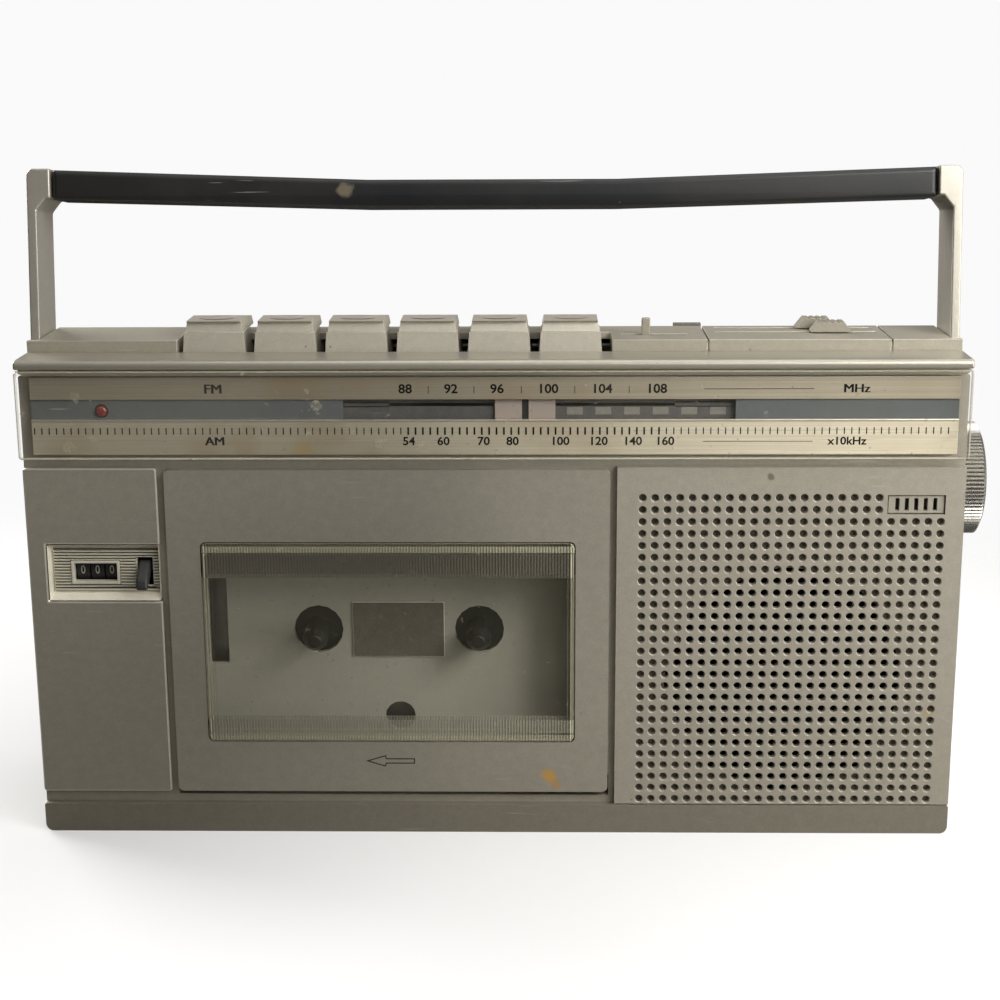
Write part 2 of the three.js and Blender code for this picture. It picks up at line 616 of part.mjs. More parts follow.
function aerialBracket() {
  const { x, y, z } = AERIAL;
  return join(
    block(x - 3.6, x + 3.4, y - 3.4, y - 2.2, 120.5, z + 2.6),
    block(x - 3.6, x + 3.4, y + 2.2, y + 3.4, 120.5, z + 2.6),
    block(x - 5.4, x - 3.5, y - 3.4, y + 3.4, 120.5, z),
    rodY(0.9, y - 2.4, y + 2.4, x, z, 12));
}

function aerialMast() {
  const { x, y, z } = AERIAL;
  return join(
    cut(
      join(rodY(2.6, y - 1.7, y + 1.7, x, z), block(x, x + 5, y - 1.7, y + 1.7, z - 2.2, z + 2.2)),
      rodY(0.9 + GAP, y - 3, y + 3, x, z, 12)),
    tube(2.8, 2.2, x + 4.4, 43, 16));
}

part('aerial_bracket', aerialBracket(), STEEL, 0.3, 0.9);
part('aerial_mast', aerialMast(), 0xd0d0d0, 0.12, 1);
part('aerial_middle', tube(1.9, 1.4, -97.5, 45, 14), 0xd0d0d0, 0.12, 1);
part('aerial_tip', join(
  rodX(1.1, -95.6, 47.8, AERIAL.y, AERIAL.z, 12),
  block(47.6, 54.9, AERIAL.y - 1, AERIAL.y + 1, 121.2, 127.8)), 0xd0d0d0, 0.12, 1);
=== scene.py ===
import math

import bpy
from mathutils import Matrix, Vector


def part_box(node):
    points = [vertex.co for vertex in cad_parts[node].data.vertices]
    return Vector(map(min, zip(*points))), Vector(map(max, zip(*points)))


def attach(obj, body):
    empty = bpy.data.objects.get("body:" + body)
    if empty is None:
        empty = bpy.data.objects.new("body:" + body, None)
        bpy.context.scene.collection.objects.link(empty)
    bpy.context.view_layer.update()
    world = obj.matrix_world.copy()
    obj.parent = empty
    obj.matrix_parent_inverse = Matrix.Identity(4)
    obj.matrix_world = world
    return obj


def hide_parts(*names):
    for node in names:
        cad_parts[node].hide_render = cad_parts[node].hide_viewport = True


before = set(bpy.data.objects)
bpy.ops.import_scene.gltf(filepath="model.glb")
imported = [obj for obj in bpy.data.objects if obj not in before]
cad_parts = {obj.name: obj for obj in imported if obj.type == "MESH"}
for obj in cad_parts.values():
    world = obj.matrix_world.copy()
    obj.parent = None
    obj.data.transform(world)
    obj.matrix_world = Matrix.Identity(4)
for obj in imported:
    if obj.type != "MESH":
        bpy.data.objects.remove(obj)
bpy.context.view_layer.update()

MM = 0.001

# ---- Camera and studio ----
# A fixed camera a little above the set and in front of it, and a pale floor that runs out into a pale
# room. Soft lights on the right, partly held off by a dark flag, let the left and the foot fall off darker.

camera_data = bpy.data.cameras.new("camera")
camera_data.lens = 66.8
camera_data.sensor_width = 36
camera = bpy.data.objects.new("camera", camera_data)
look = Vector((-0.02143, 0.96987, -0.24267))
right = Vector((0.99979, 0.02072, -0.00548))
up = right.cross(look)
camera.matrix_world = Matrix.Translation(Vector((11.95, -479.04, 202.5)) * MM) @ Matrix(
    (right, up, -look)).transposed().to_4x4()
bpy.context.scene.collection.objects.link(camera)
bpy.context.scene.camera = camera
bpy.context.scene.view_settings.view_transform = "Standard"


def spread(tree, value, low, high, to_low=0.0, to_high=1.0, curve="LINEAR"):
    """Maps low..high of a value to to_low..to_high, held at the ends."""
    node = tree.nodes.new("ShaderNodeMapRange")
    node.interpolation_type = curve
    for label, number in (("From Min", low), ("From Max", high), ("To Min", to_low), ("To Max", to_high)):
        node.inputs[label].default_value = number
    tree.links.new(value, node.inputs["Value"])
    return node.outputs["Result"]


def calculate(tree, operation, *values):
    node = tree.nodes.new("ShaderNodeMath")
    node.operation = operation
    for socket, value in zip(node.inputs, values):
        if isinstance(value, (int, float)):
            socket.default_value = value
        else:
            tree.links.new(value, socket)
    return node.outputs["Value"]


def times(tree, first, second):
    return calculate(tree, "MULTIPLY", first, second)


world = bpy.data.worlds.new("studio_room")
world.use_nodes = True
nodes, links = world.node_tree.nodes, world.node_tree.links
seen = nodes["Background"]
seen.inputs["Color"].default_value = (0.955, 0.955, 0.955, 1)
seen.inputs["Strength"].default_value = 1.0
room = nodes.new("ShaderNodeBackground")
room.inputs["Color"].default_value = (1.0, 0.985, 0.955, 1)
lean = nodes.new("ShaderNodeVectorMath")
lean.operation = "DOT_PRODUCT"
lean.inputs[1].default_value = (0.8, 0.0, 0.6)
links.new(nodes.new("ShaderNodeTexCoord").outputs["Generated"], lean.inputs[0])
glow = spread(world.node_tree, lean.outputs["Value"], -0.5, 0.95, 0.004, 0.45, "SMOOTHSTEP")
links.new(glow, room.inputs["Strength"])
choice = nodes.new("ShaderNodeMixShader")
ray = nodes.new("ShaderNodeLightPath")
links.new(ray.outputs["Is Camera Ray"], choice.inputs["Fac"])
links.new(room.outputs["Background"], choice.inputs[1])
links.new(seen.outputs["Background"], choice.inputs[2])
links.new(choice.outputs["Shader"], nodes["World Output"].inputs["Surface"])
bpy.context.scene.world = world


def soft_light(name, watts, size, place, target):
    data = bpy.data.lights.new(name, "AREA")
    data.energy = watts
    data.shape = "RECTANGLE"
    data.size, data.size_y = size
    data.color = (1.0, 0.98, 0.945)
    lamp = bpy.data.objects.new(name, data)
    lamp.location = place
    lamp.rotation_euler = (Vector(target) - Vector(place)).to_track_quat("-Z", "Y").to_euler()
    bpy.context.scene.collection.objects.link(lamp)


soft_light("light_right", 2.1, (0.26, 0.22), (0.33, -0.30, 0.36), (0.07, 0, 0.08))
soft_light("light_front", 1.25, (0.5, 0.4), (0.30, -0.66, 0.46), (0.03, 0, 0.07))
soft_light("light_behind_left", 7.0, (0.5, 0.5), (-0.6, 0.45, 0.40), (0.08, 0, 0.15))
soft_light("light_top", 3.0, (1.1, 0.6), (0.12, -0.05, 0.95), (0, 0, 0.05))
soft_light("light_low_right", 0.7, (0.16, 0.16), (0.42, -0.17, 0.11), (0.12, 0, 0.06))

bpy.ops.mesh.primitive_plane_add(size=1, location=(0, 0, 0))
flag = bpy.context.object
flag.name = "studio_flag"
flag.scale = (0.11, 0.06, 1)
flag.location = (0.015, -0.13, 0.12)
flag.rotation_euler = (Vector((0.33, -0.30, 0.36)) - flag.location).to_track_quat("Z", "Y").to_euler()
flag.visible_camera = flag.visible_diffuse = flag.visible_glossy = flag.visible_transmission = False
felt = bpy.data.materials.new("flag_felt")
felt.use_nodes = True
felt.node_tree.nodes["Principled BSDF"].inputs["Base Color"].default_value = (0.01, 0.01, 0.01, 1)
flag.data.materials.append(felt)

bpy.ops.mesh.primitive_plane_add(size=8, location=(0, 0, 0))
floor = bpy.context.object
floor.name = "studio_floor"
paper = bpy.data.materials.new("studio_paper")
paper.use_nodes = True
shader = paper.node_tree.nodes["Principled BSDF"]
shader.inputs["Roughness"].default_value = 0.9
shader.inputs["Specular IOR Level"].default_value = 0.1
tree = paper.node_tree
seen_by = tree.nodes.new("ShaderNodeLightPath")
tone = tree.nodes.new("ShaderNodeMix")
tone.data_type = "RGBA"
tone.inputs[6].default_value = (0.16, 0.15, 0.135, 1)
tone.inputs[7].default_value = (0.62, 0.62, 0.63, 1)
tree.links.new(seen_by.outputs["Is Camera Ray"], tone.inputs[0])
tree.links.new(tone.outputs[2], shader.inputs["Base Color"])
tree.links.new(times(tree, seen_by.outputs["Is Camera Ray"], 0.25), shader.inputs["Emission Strength"])
shader.inputs["Emission Color"].default_value = (1, 1, 1, 1)
away = tree.nodes.new("ShaderNodeVectorMath")
away.operation = "LENGTH"
tree.links.new(tree.nodes.new("ShaderNodeTexCoord").outputs["Object"], away.inputs[0])
fade = spread(tree, away.outputs["Value"], 0.15, 0.40, 1.0, 0.0, "SMOOTHSTEP")
tree.links.new(fade, shader.inputs["Alpha"])
floor.data.materials.append(paper)

# ---- Front cabinet ----
# Injection-moulded styrene shell, sprayed with warm silver lacquer; the base strip, the deck walls and
# the side walls are one moulding. Handling has dulled the lacquer and left fine specks and rubbed marks.
# The front of the base strip takes a darker copy of the lacquer: painted shade along the foot.


def select_only(piece):
    if bpy.context.object and bpy.context.object.mode != "OBJECT":
        bpy.ops.object.mode_set(mode="OBJECT")
    bpy.ops.object.select_all(action="DESELECT")
    piece.select_set(True)
    bpy.context.view_layer.objects.active = piece


def apply_modifier(piece, kind, **settings):
    select_only(piece)
    modifier = piece.modifiers.new(kind.lower(), kind)
    for key, value in settings.items():
        setattr(modifier, key, value)
    bpy.ops.object.modifier_apply(modifier=modifier.name)


def round_edges(piece, width, segments=2, angle=30):
    """Rounds the edges; where the piece has a second finish, the rounded edges take it."""
    apply_modifier(piece, "BEVEL", width=width * MM, segments=segments, limit_method="ANGLE",
                   angle_limit=math.radians(angle), use_clamp_overlap=True, material=1)


def smooth(piece, angle=32):
    select_only(piece)
    bpy.ops.object.shade_smooth_by_angle(angle=math.radians(angle))
    apply_modifier(piece, "WEIGHTED_NORMAL", keep_sharp=True, weight=100)


def cut_away(piece, cutter):
    apply_modifier(piece, "BOOLEAN", operation="DIFFERENCE", object=cutter, solver="EXACT")
    bpy.data.objects.remove(cutter)


def add_on(piece, *others):
    select_only(piece)
    for other in others:
        other.select_set(True)
    bpy.ops.object.join()


def box(name, x0, x1, y0, y1, z0, z1):
    middle = ((x0 + x1) / 2 * MM, (y0 + y1) / 2 * MM, (z0 + z1) / 2 * MM)
    bpy.ops.mesh.primitive_cube_add(size=1, location=middle)
    piece = bpy.context.object
    piece.name = name
    piece.scale = ((x1 - x0) * MM, (y1 - y0) * MM, (z1 - z0) * MM)
    select_only(piece)
    bpy.ops.object.transform_apply(location=True, rotation=True, scale=True)
    return piece


def rod(name, axis, radius, start, end, across, sides=32, end_radius=None):
    """A cylinder or cone from start to end along an axis; across gives its other two coordinates."""
    middle, length = (start + end) / 2, end - start
    place = {"X": (middle, *across), "Y": (across[0], middle, across[1]), "Z": (*across, middle)}[axis]
    turn = {"X": (0, math.pi / 2, 0), "Y": (-math.pi / 2, 0, 0), "Z": (0, 0, 0)}[axis]
    bpy.ops.mesh.primitive_cone_add(vertices=sides, radius1=radius * MM,
                                    radius2=(radius if end_radius is None else end_radius) * MM,
                                    depth=length * MM, location=Vector(place) * MM, rotation=turn)
    piece = bpy.context.object
    piece.name = name
    bpy.ops.object.transform_apply(location=True, rotation=True, scale=True)
    return piece


def copy_of(node, name):
    """The node's own shape as a merged mesh with whole flat faces, ready to be worked on."""
    piece = bpy.data.objects.new(name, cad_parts[node].data.copy())
    bpy.context.scene.collection.objects.link(piece)
    piece.data.materials.clear()
    for _ in ("faces", "edges"):
        piece.data.materials.append(None)
    select_only(piece)
    bpy.ops.mesh.customdata_custom_splitnormals_clear()
    bpy.ops.object.mode_set(mode="EDIT")
    bpy.ops.mesh.select_all(action="SELECT")
    bpy.ops.mesh.remove_doubles(threshold=0.00002)
    bpy.ops.mesh.dissolve_limited(angle_limit=math.radians(1.5))
    bpy.ops.object.mode_set(mode="OBJECT")
    return piece


def fit(piece, material, body, slot, *stands_for, edges=None):
    """Gives a finished piece its finish, a second one for its rounded edges, and the body it moves with."""
    if len(piece.data.materials) == 2:
        piece.data.materials[0] = material
        piece.data.materials[1] = edges or material
    else:
        piece.data.materials.clear()
        piece.data.materials.append(material)
    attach(piece, body)
    if stands_for:
        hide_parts(*stands_for)


def worked(node, material, body, slot, edge, segments=2, edges=None):
    """A finished piece made from a node's shape by rounding its edges."""
    piece = copy_of(node, node + "_finished")
    round_edges(piece, edge, segments)
    smooth(piece)
    fit(piece, material, body, slot, node, edges=edges)


def new_group(name, inputs, outputs):
    tree = bpy.data.node_groups.new(name, "ShaderNodeTree")
    for label, kind, value in inputs:
        socket = tree.interface.new_socket(label, in_out="INPUT", socket_type=kind)
        socket.default_value = value
    for label, kind in outputs:
        tree.interface.new_socket(label, in_out="OUTPUT", socket_type=kind)
    return tree, tree.nodes.new("NodeGroupInput"), tree.nodes.new("NodeGroupOutput")


def noise(tree, coordinates, scale, detail=3.0, rough=0.55, stretch=None):
    source = coordinates
    if stretch:
        mapping = tree.nodes.new("ShaderNodeMapping")
        mapping.inputs["Scale"].default_value = stretch
        tree.links.new(coordinates, mapping.inputs["Vector"])
        source = mapping.outputs["Vector"]
    texture = tree.nodes.new("ShaderNodeTexNoise")
    texture.inputs["Scale"].default_value = scale
    texture.inputs["Detail"].default_value = detail
    texture.inputs["Roughness"].default_value = rough
    tree.links.new(source, texture.inputs["Vector"])
    return texture.outputs["Fac"]


def plus(tree, first, second):
    return calculate(tree, "ADD", first, second)


def blend_colour(tree, factor, first, second):
    node = tree.nodes.new("ShaderNodeMix")
    node.data_type = "RGBA"
    for socket, value in ((node.inputs[0], factor), (node.inputs[6], first), (node.inputs[7], second)):
        if isinstance(value, (int, float)):
            socket.default_value = value
        elif isinstance(value, tuple):
            socket.default_value = (*value, 1)
        else:
            tree.links.new(value, socket)
    return node.outputs[2]


def make_handled_surface():
    """Colour, roughness and height of a handled surface: fine grain, dull patches, specks and rubs."""
    tree, given, result = new_group("handled_surface", [
        ("Color", "NodeSocketColor", (0.5, 0.5, 0.5, 1)),
        ("Dirt Color", "NodeSocketColor", (0.2, 0.18, 0.13, 1)),
        ("Dirt", "NodeSocketFloat", 0.3),
        ("Grain", "NodeSocketFloat", 0.1),
        ("Roughness", "NodeSocketFloat", 0.4),
    ], [("Color", "NodeSocketColor"), ("Roughness", "NodeSocketFloat"), ("Height", "NodeSocketFloat")])
    place = tree.nodes.new("ShaderNodeTexCoord").outputs["Object"]
    grain = noise(tree, place, 2600, 2.0)
    mottle = noise(tree, place, 420, 3.0)
    patches = spread(tree, noise(tree, place, 26, 5.0, 0.62), 0.44, 0.72)
    grime = spread(tree, noise(tree, place, 9, 3.0), 0.42, 0.66)
    speck_field = tree.nodes.new("ShaderNodeTexVoronoi")
    speck_field.inputs["Scale"].default_value = 150
    tree.links.new(place, speck_field.inputs["Vector"])
    specks = times(tree, spread(tree, speck_field.outputs["Distance"], 0.05, 0.03),
                   spread(tree, noise(tree, place, 33, 2.0), 0.55, 0.62))
    rubs = times(tree, spread(tree, noise(tree, place, 60, 2.0, 0.5, (1.0, 1.0, 22.0)), 0.70, 0.74),
                 spread(tree, noise(tree, place, 20, 1.0), 0.52, 0.60))
    dirt = times(tree, times(tree, plus(tree, patches, grime), 0.5), given.outputs["Dirt"])
    colour = blend_colour(tree, dirt, given.outputs["Color"], given.outputs["Dirt Color"])
    shade = spread(tree, plus(tree, times(tree, grain, 0.6), times(tree, mottle, 0.4)), 0.35, 0.65, 0.0, 1.0)
    dark = blend_colour(tree, given.outputs["Grain"], colour, (0.0, 0.0, 0.0))
    colour = blend_colour(tree, shade, dark, colour)
    colour = blend_colour(tree, times(tree, specks, 0.75), colour, given.outputs["Dirt Color"])
    bright = blend_colour(tree, 0.35, colour, (0.85, 0.83, 0.76))
    colour = blend_colour(tree, times(tree, rubs, 0.5), colour, bright)
    tree.links.new(colour, result.inputs["Color"])
    rough = plus(tree, given.outputs["Roughness"], times(tree, dirt, 0.3))
    rough = plus(tree, rough, times(tree, grain, 0.08))
    tree.links.new(rough, result.inputs["Roughness"])
    height = plus(tree, times(tree, grain, 0.5), times(tree, mottle, 0.35))
    tree.links.new(plus(tree, height, times(tree, specks, 0.6)), result.inputs["Height"])
    return tree


handled_surface = make_handled_surface()


def finish_material(name, colour, roughness, metallic=0.0, dirt=0.3, grain=0.1, relief=0.02,
                    dirt_colour=(0.16, 0.14, 0.10), coat=0.0, specular=0.5):
    material = bpy.data.materials.new(name)
    material.use_nodes = True
    tree = material.node_tree
    shader = tree.nodes["Principled BSDF"]
    shader.inputs["Metallic"].default_value = metallic
    shader.inputs["Coat Weight"].default_value = coat
    shader.inputs["Coat Roughness"].default_value = 0.12
    shader.inputs["Specular IOR Level"].default_value = specular
    surface = tree.nodes.new("ShaderNodeGroup")
    surface.node_tree = handled_surface
    surface.inputs["Color"].default_value = (*colour, 1)
    surface.inputs["Dirt Color"].default_value = (*dirt_colour, 1)
    surface.inputs["Dirt"].default_value = dirt
    surface.inputs["Grain"].default_value = grain
    surface.inputs["Roughness"].default_value = roughness
    tree.links.new(surface.outputs["Color"], shader.inputs["Base Color"])
    tree.links.new(surface.outputs["Roughness"], shader.inputs["Roughness"])
    bump = tree.nodes.new("ShaderNodeBump")
    bump.inputs["Strength"].default_value = 1.0
    bump.inputs["Distance"].default_value = relief * MM
    tree.links.new(surface.outputs["Height"], bump.inputs["Height"])
    tree.links.new(bump.outputs["Normal"], shader.inputs["Normal"])
    return material


def blot(tree, centre, reach, strength):
    """A mask with a ragged outline around a point of the surface."""
    place = tree.nodes.new("ShaderNodeTexCoord").outputs["Object"]
    away = tree.nodes.new("ShaderNodeVectorMath")
    away.operation = "DISTANCE"
    away.inputs[1].default_value = Vector(centre) * MM
    tree.links.new(place, away.inputs[0])
    ragged = plus(tree, away.outputs["Value"], times(tree, noise(tree, place, 330, 3.0), reach * 1.1 * MM))
    return times(tree, spread(tree, ragged, reach * 1.25 * MM, reach * 0.95 * MM), strength)


def stain(material, centre, reach, colour, strength):
    tree = material.node_tree
    base = tree.nodes["Principled BSDF"].inputs["Base Color"]
    mask = blot(tree, centre, reach, strength)
    tree.links.new(blend_colour(tree, mask, base.links[0].from_socket, colour), base)


silver = finish_material("silver_lacquer", (0.38, 0.353, 0.29), 0.42, 0.35, dirt=0.14, grain=0.16)
# Pale finish for the rounded edges: wear, and also painted highlight where the edges catch light.
worn_and_highlit_silver = finish_material("edge_wear_and_highlight", (0.80, 0.77, 0.68), 0.28, 0.55, dirt=0.2, grain=0.1)
# A darker copy of the lacquer for the front of the base strip: painted shade, with a little more grime.
shaded_base_silver = finish_material("shaded_base_silver", (0.27, 0.248, 0.20), 0.42, 0.35, dirt=0.3, grain=0.16)
front = copy_of("front_cabinet", "front_cabinet_finished")
round_edges(front, 0.45)
smooth(front)
front.data.materials.append(shaded_base_silver)
for face in front.data.polygons:
    if face.center.z < 9 * MM and face.center.y < -20 * MM and face.material_index == 0:
        face.material_index = 2
front.data.materials[0] = silver
front.data.materials[1] = worn_and_highlit_silver
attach(front, "cabinet")
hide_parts("front_cabinet")

# ---- Rear cabinet and battery door ----
# The rear half of the case, moulded and sprayed like the front and held to it by five screws sunk in
# round wells. The battery door hooks in along its lower edge and has moulded grip ribs.

SCREW_PLACES = [(-104, 14), (104, 14), (-104, 92), (104, 92), (0, 104)]
COIL_TURNS, COIL_STEPS = 4, 48


def extent(node):
    """The lowest and the highest corner of a node, in millimetres."""
    return [Vector(corner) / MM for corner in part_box(node)]


rear = copy_of("rear_cabinet", "rear_cabinet_finished")
for x, z in SCREW_PLACES:
    cut_away(rear, rod("screw_well", "Y", 4.2, 26.4, 29, (x, z), 24))
round_edges(rear, 0.5)
smooth(rear)
fit(rear, silver, "cabinet", "silver_paint", "rear_cabinet", edges=worn_and_highlit_silver)

steel = finish_material("plain_steel", (0.52, 0.52, 0.51), 0.32, 0.95, dirt=0.15, grain=0.12)
for number, (x, z) in enumerate(SCREW_PLACES):
    screw = rod("case_screw_%d" % (number + 1), "Y", 3.2, 26.5, 27.7, (x, z), 24, 2.6)
    for long, wide in ((1.7, 0.35), (0.35, 1.7)):
        cut_away(screw, box("slot", x - long, x + long, 27.1, 28.5, z - wide, z + wide))
    round_edges(screw, 0.12)
    smooth(screw)
    fit(screw, steel, "cabinet", "steel")

battery_door = copy_of("battery_door", "battery_door_finished")
low, high = extent("battery_door")
for number in range(7):
    z = high.z - 12 - number * 2.2
    cut_away(battery_door, box("rib_gap", -14, 4, high.y - 0.45, high.y + 1, z - 0.5, z + 0.5))
round_edges(battery_door, 0.35)
smooth(battery_door)
fit(battery_door, silver, "battery_cover", "silver_paint", "battery_door")

contact_metal = finish_material("plated_contact", (0.6, 0.6, 0.58), 0.25, 1.0, dirt=0.1)
for side, x in (("left", low.x + 0.6), ("right", high.x - 0.9)):
    plate = box("battery_contact_" + side, x, x + 0.3, 11, 25, 10.5, 41.5)
    round_edges(plate, 0.1)
    coil = []
    inward = 1 if side == "left" else -1
    for z in (18, 34):
        curve = bpy.data.curves.new("spring_path", "CURVE")
        curve.dimensions = "3D"
        curve.bevel_depth = 0.4 * MM
        curve.bevel_resolution = 2
        spline = curve.splines.new("POLY")
        spline.points.add(COIL_STEPS)
        for step in range(COIL_STEPS + 1):
            angle = 2 * math.pi * step * COIL_TURNS / COIL_STEPS
            radius = 4.2 - 2.2 * step / COIL_STEPS
            spline.points[step].co = ((x + inward * (0.6 + 3.4 * step / COIL_STEPS)) * MM,
                                      (18 + radius * math.cos(angle)) * MM,
                                      (z + radius * math.sin(angle)) * MM, 1)
        curve.use_fill_caps = True
        spring = bpy.data.objects.new("spring", curve)
        bpy.context.scene.collection.objects.link(spring)
        select_only(spring)
        bpy.ops.object.convert(target="MESH")
        coil.append(spring)
    add_on(plate, *coil)
    smooth(plate)
    fit(plate, contact_metal, "cabinet", "steel")

# ---- Top rim and top deck ----
# The rim is a polished strip along the front edge of the top. Behind it lies the deck moulding, cut by
# fine joint lines into the blocks round the keys and the slide controls.

rim_metal = finish_material("rim_metal", (0.45, 0.425, 0.355), 0.26, 0.6, dirt=0.2, grain=0.08)
rim = copy_of("top_rim", "top_rim_finished")
round_edges(rim, 0.7, 3)
smooth(rim)
fit(rim, rim_metal, "cabinet", "rim_metal", "top_rim")

# A lighter copy of the case lacquer for the top deck: painted light for the light falling on the top.
lit_deck_paint = finish_material("deck_lacquer_lit", (0.45, 0.42, 0.345), 0.38, 0.4, dirt=0.2, grain=0.14)
deck = copy_of("top_deck", "top_deck_finished")
low, high = extent("top_deck")
for x in (54.3, 100.3):
    cut_away(deck, box("joint_line", x - 0.25, x + 0.25, low.y - 1, high.y + 1, high.z - 0.9, high.z + 1))
    cut_away(deck, box("joint_line", x - 0.25, x + 0.25, low.y - 1, low.y + 0.5, low.z - 1, high.z + 1))
round_edges(deck, 0.45)
smooth(deck)
fit(deck, lit_deck_paint, "cabinet", "silver_paint", "top_deck", edges=worn_and_highlit_silver)

# ---- Counter panel with its ribbed tray, number wheels and reset lever ----
# A flat silver panel with a sunk tray moulded in pale plastic. The tray is ribbed along its length and
# has a framed window over three black number wheels and a slot for the dark reset lever.

worked("counter_panel", silver, "cabinet", "silver_paint", 0.4, edges=worn_and_highlit_silver)

pale = finish_material("pale_plastic", (0.80, 0.76, 0.63), 0.42, 0.2, dirt=0.2, grain=0.1)
black = finish_material("black_plastic", (0.018, 0.018, 0.018), 0.45, dirt=0.15, grain=0.1,
                        dirt_colour=(0.08, 0.075, 0.06))
WINDOW_BOX = (-106.9, -95.9, 67.8, 72.6)
SLOT_BOX = (-90.7, -86.8, 66.6, 74.0)
TRAY_LEFT, TRAY_RIGHT, TRAY_FLOOR = -112.0, -85.2, -25.6
THROUGH = (-30, -20)


def choose(piece, kind, test):
    """Opens a piece for editing with only those vertices, edges or faces selected that pass the test."""
    select_only(piece)
    bpy.ops.object.mode_set(mode="EDIT")
    bpy.ops.mesh.select_mode(type=kind)
    bpy.ops.mesh.select_all(action="DESELECT")
    bpy.ops.object.mode_set(mode="OBJECT")
    for part in {"VERT": piece.data.vertices, "EDGE": piece.data.edges, "FACE": piece.data.polygons}[kind]:
        part.select = test(part)
    bpy.ops.object.mode_set(mode="EDIT")


def repeat(piece, count, x=0.0, z=0.0):
    """Repeats a piece in a row, each copy moved by x and z from the one before."""
    apply_modifier(piece, "ARRAY", count=count, use_relative_offset=False, use_constant_offset=True,
                   constant_offset_displace=(x * MM, 0, z * MM))


def opening(outline, margin=0.0, depth=THROUGH):
    """A block over an outline of the tray, wider than it by a margin all round."""
    x0, x1, z0, z1 = outline
    return box("opening", x0 - margin, x1 + margin, *depth, z0 - margin, z1 + margin)


tray = box("counter_tray", -113.1, -84.7, -27.9, -24.4, 63.2, 77.7)
choose(tray, "FACE", lambda face: face.normal.y < -0.9)
bpy.ops.mesh.inset(thickness=0.3 * MM)
bpy.ops.object.mode_set(mode="OBJECT")
for vertex in tray.data.vertices:
    if vertex.select:
        left, low_side = vertex.co.x < -99 * MM, vertex.co.z < 70 * MM
        vertex.co = Vector((-112.3 if left else -85.1, TRAY_FLOOR, 65.2 if low_side else 76.8)) * MM
cut_away(tray, opening(WINDOW_BOX))
cut_away(tray, opening(SLOT_BOX))
round_edges(tray, 0.12)
ribs = box("ribs", TRAY_LEFT, TRAY_RIGHT, TRAY_FLOOR - 0.75, TRAY_FLOOR + 0.2, 65.5, 65.84)
repeat(ribs, 14, z=0.78)
# A dark sheet just above the tray floor shows between the ribs: painted shade in the grooves.
grooves = box("counter_tray_grooves", TRAY_LEFT, TRAY_RIGHT, TRAY_FLOOR - 0.06, TRAY_FLOOR + 0.1, 65.4, 76.5)
for piece, window_margin in ((ribs, 0.9), (grooves, 0.5)):
    cut_away(piece, opening(WINDOW_BOX, window_margin))
    cut_away(piece, opening(SLOT_BOX, 0.3))
round_edges(ribs, 0.06)
painted_groove_shade = finish_material("painted_groove_shade", (0.16, 0.145, 0.115), 0.7, dirt=0.3, grain=0.2)
fit(grooves, painted_groove_shade, "cabinet", "grey_plastic")
bezel = opening(WINDOW_BOX, 0.7, (TRAY_FLOOR - 0.8, TRAY_FLOOR + 0.3))
cut_away(bezel, opening(WINDOW_BOX))
round_edges(bezel, 0.15)
add_on(tray, ribs, bezel)
smooth(tray)
fit(tray, pale, "cabinet", "light_plastic", "counter_frame")
shade = box("counter_well", -113, -86, -23.9, -23.7, 64, 77)
cut_away(shade, box("opening", -108, -94.8, *THROUGH, 66, 74.5))
cut_away(shade, box("opening", SLOT_BOX[0], SLOT_BOX[1], *THROUGH, 66, 74.5))
round_edges(shade, 0.05)
fit(shade, black, "cabinet", "black_plastic")

white_print = finish_material("white_print", (0.50, 0.49, 0.44), 0.5, dirt=0.3)
PRINT_THICKNESS = 0.03


def lettering(name, text, height, place, stretch=1.0, turn=0.0, around=None, weight=0.0):
    """Flat printed figures facing the front; around is a point on an X axis that they are turned about."""
    bpy.ops.object.text_add(location=(0, 0, 0))
    words = bpy.context.object
    words.name = name
    words.data.body = text
    words.data.align_x = "CENTER"
    words.data.align_y = "CENTER"
    words.data.size = height * MM * 1.38
    words.data.extrude = PRINT_THICKNESS * MM
    words.data.resolution_u = 3
    words.data.offset = weight * height * MM
    select_only(words)
    bpy.ops.object.convert(target="MESH")
    words = bpy.context.object
    upright = Matrix.Rotation(math.pi / 2, 4, "X") @ Matrix.Diagonal((stretch, 1, 1, 1))
    where = Matrix.Translation(Vector(place) * MM) @ upright
    if around:
        pivot = Matrix.Translation(Vector(around) * MM)
        where = pivot @ Matrix.Rotation(turn, 4, "X") @ pivot.inverted() @ where
    words.matrix_world = where
    select_only(words)
    bpy.ops.object.transform_apply(location=True, rotation=True, scale=True)
    return words


for wheel in ("hundreds", "tens", "units"):
    low, high = extent("counter_wheel_" + wheel)
    centre = (low + high) / 2
    figures = [lettering("figure", str(n), 2.3, (centre.x, low.y - 0.02, centre.z), stretch=0.78,
                         turn=n * math.pi / 5, around=centre) for n in range(10)]
    figures[0].name = "counter_figures_" + wheel
    add_on(figures[0], *figures[1:])
    fit(figures[0], white_print, "counter_" + wheel, "light_plastic")
    worked("counter_wheel_" + wheel, black, "counter_" + wheel, "black_plastic", 0.1)

grey = finish_material("dark_grey_plastic", (0.035, 0.036, 0.038), 0.38, dirt=0.3, grain=0.1,
                       dirt_colour=(0.14, 0.13, 0.11))
worked("reset_lever", grey, "reset", "grey_plastic", 0.6, 3)

# ---- Speaker grille, microphone plate and speaker ----
# The grille panel is pierced by a square grid of round holes with soft rims, with a small slotted plate
# for the microphone let in at its top corner. A thin brown liner lies behind it, open over the speaker.

GRID = 3.106
COLUMNS, ROWS = 25, 27
FIRST_X, FIRST_Z = 37.67, 90.15
HOLE_RIM, HOLE = 1.12, 0.93

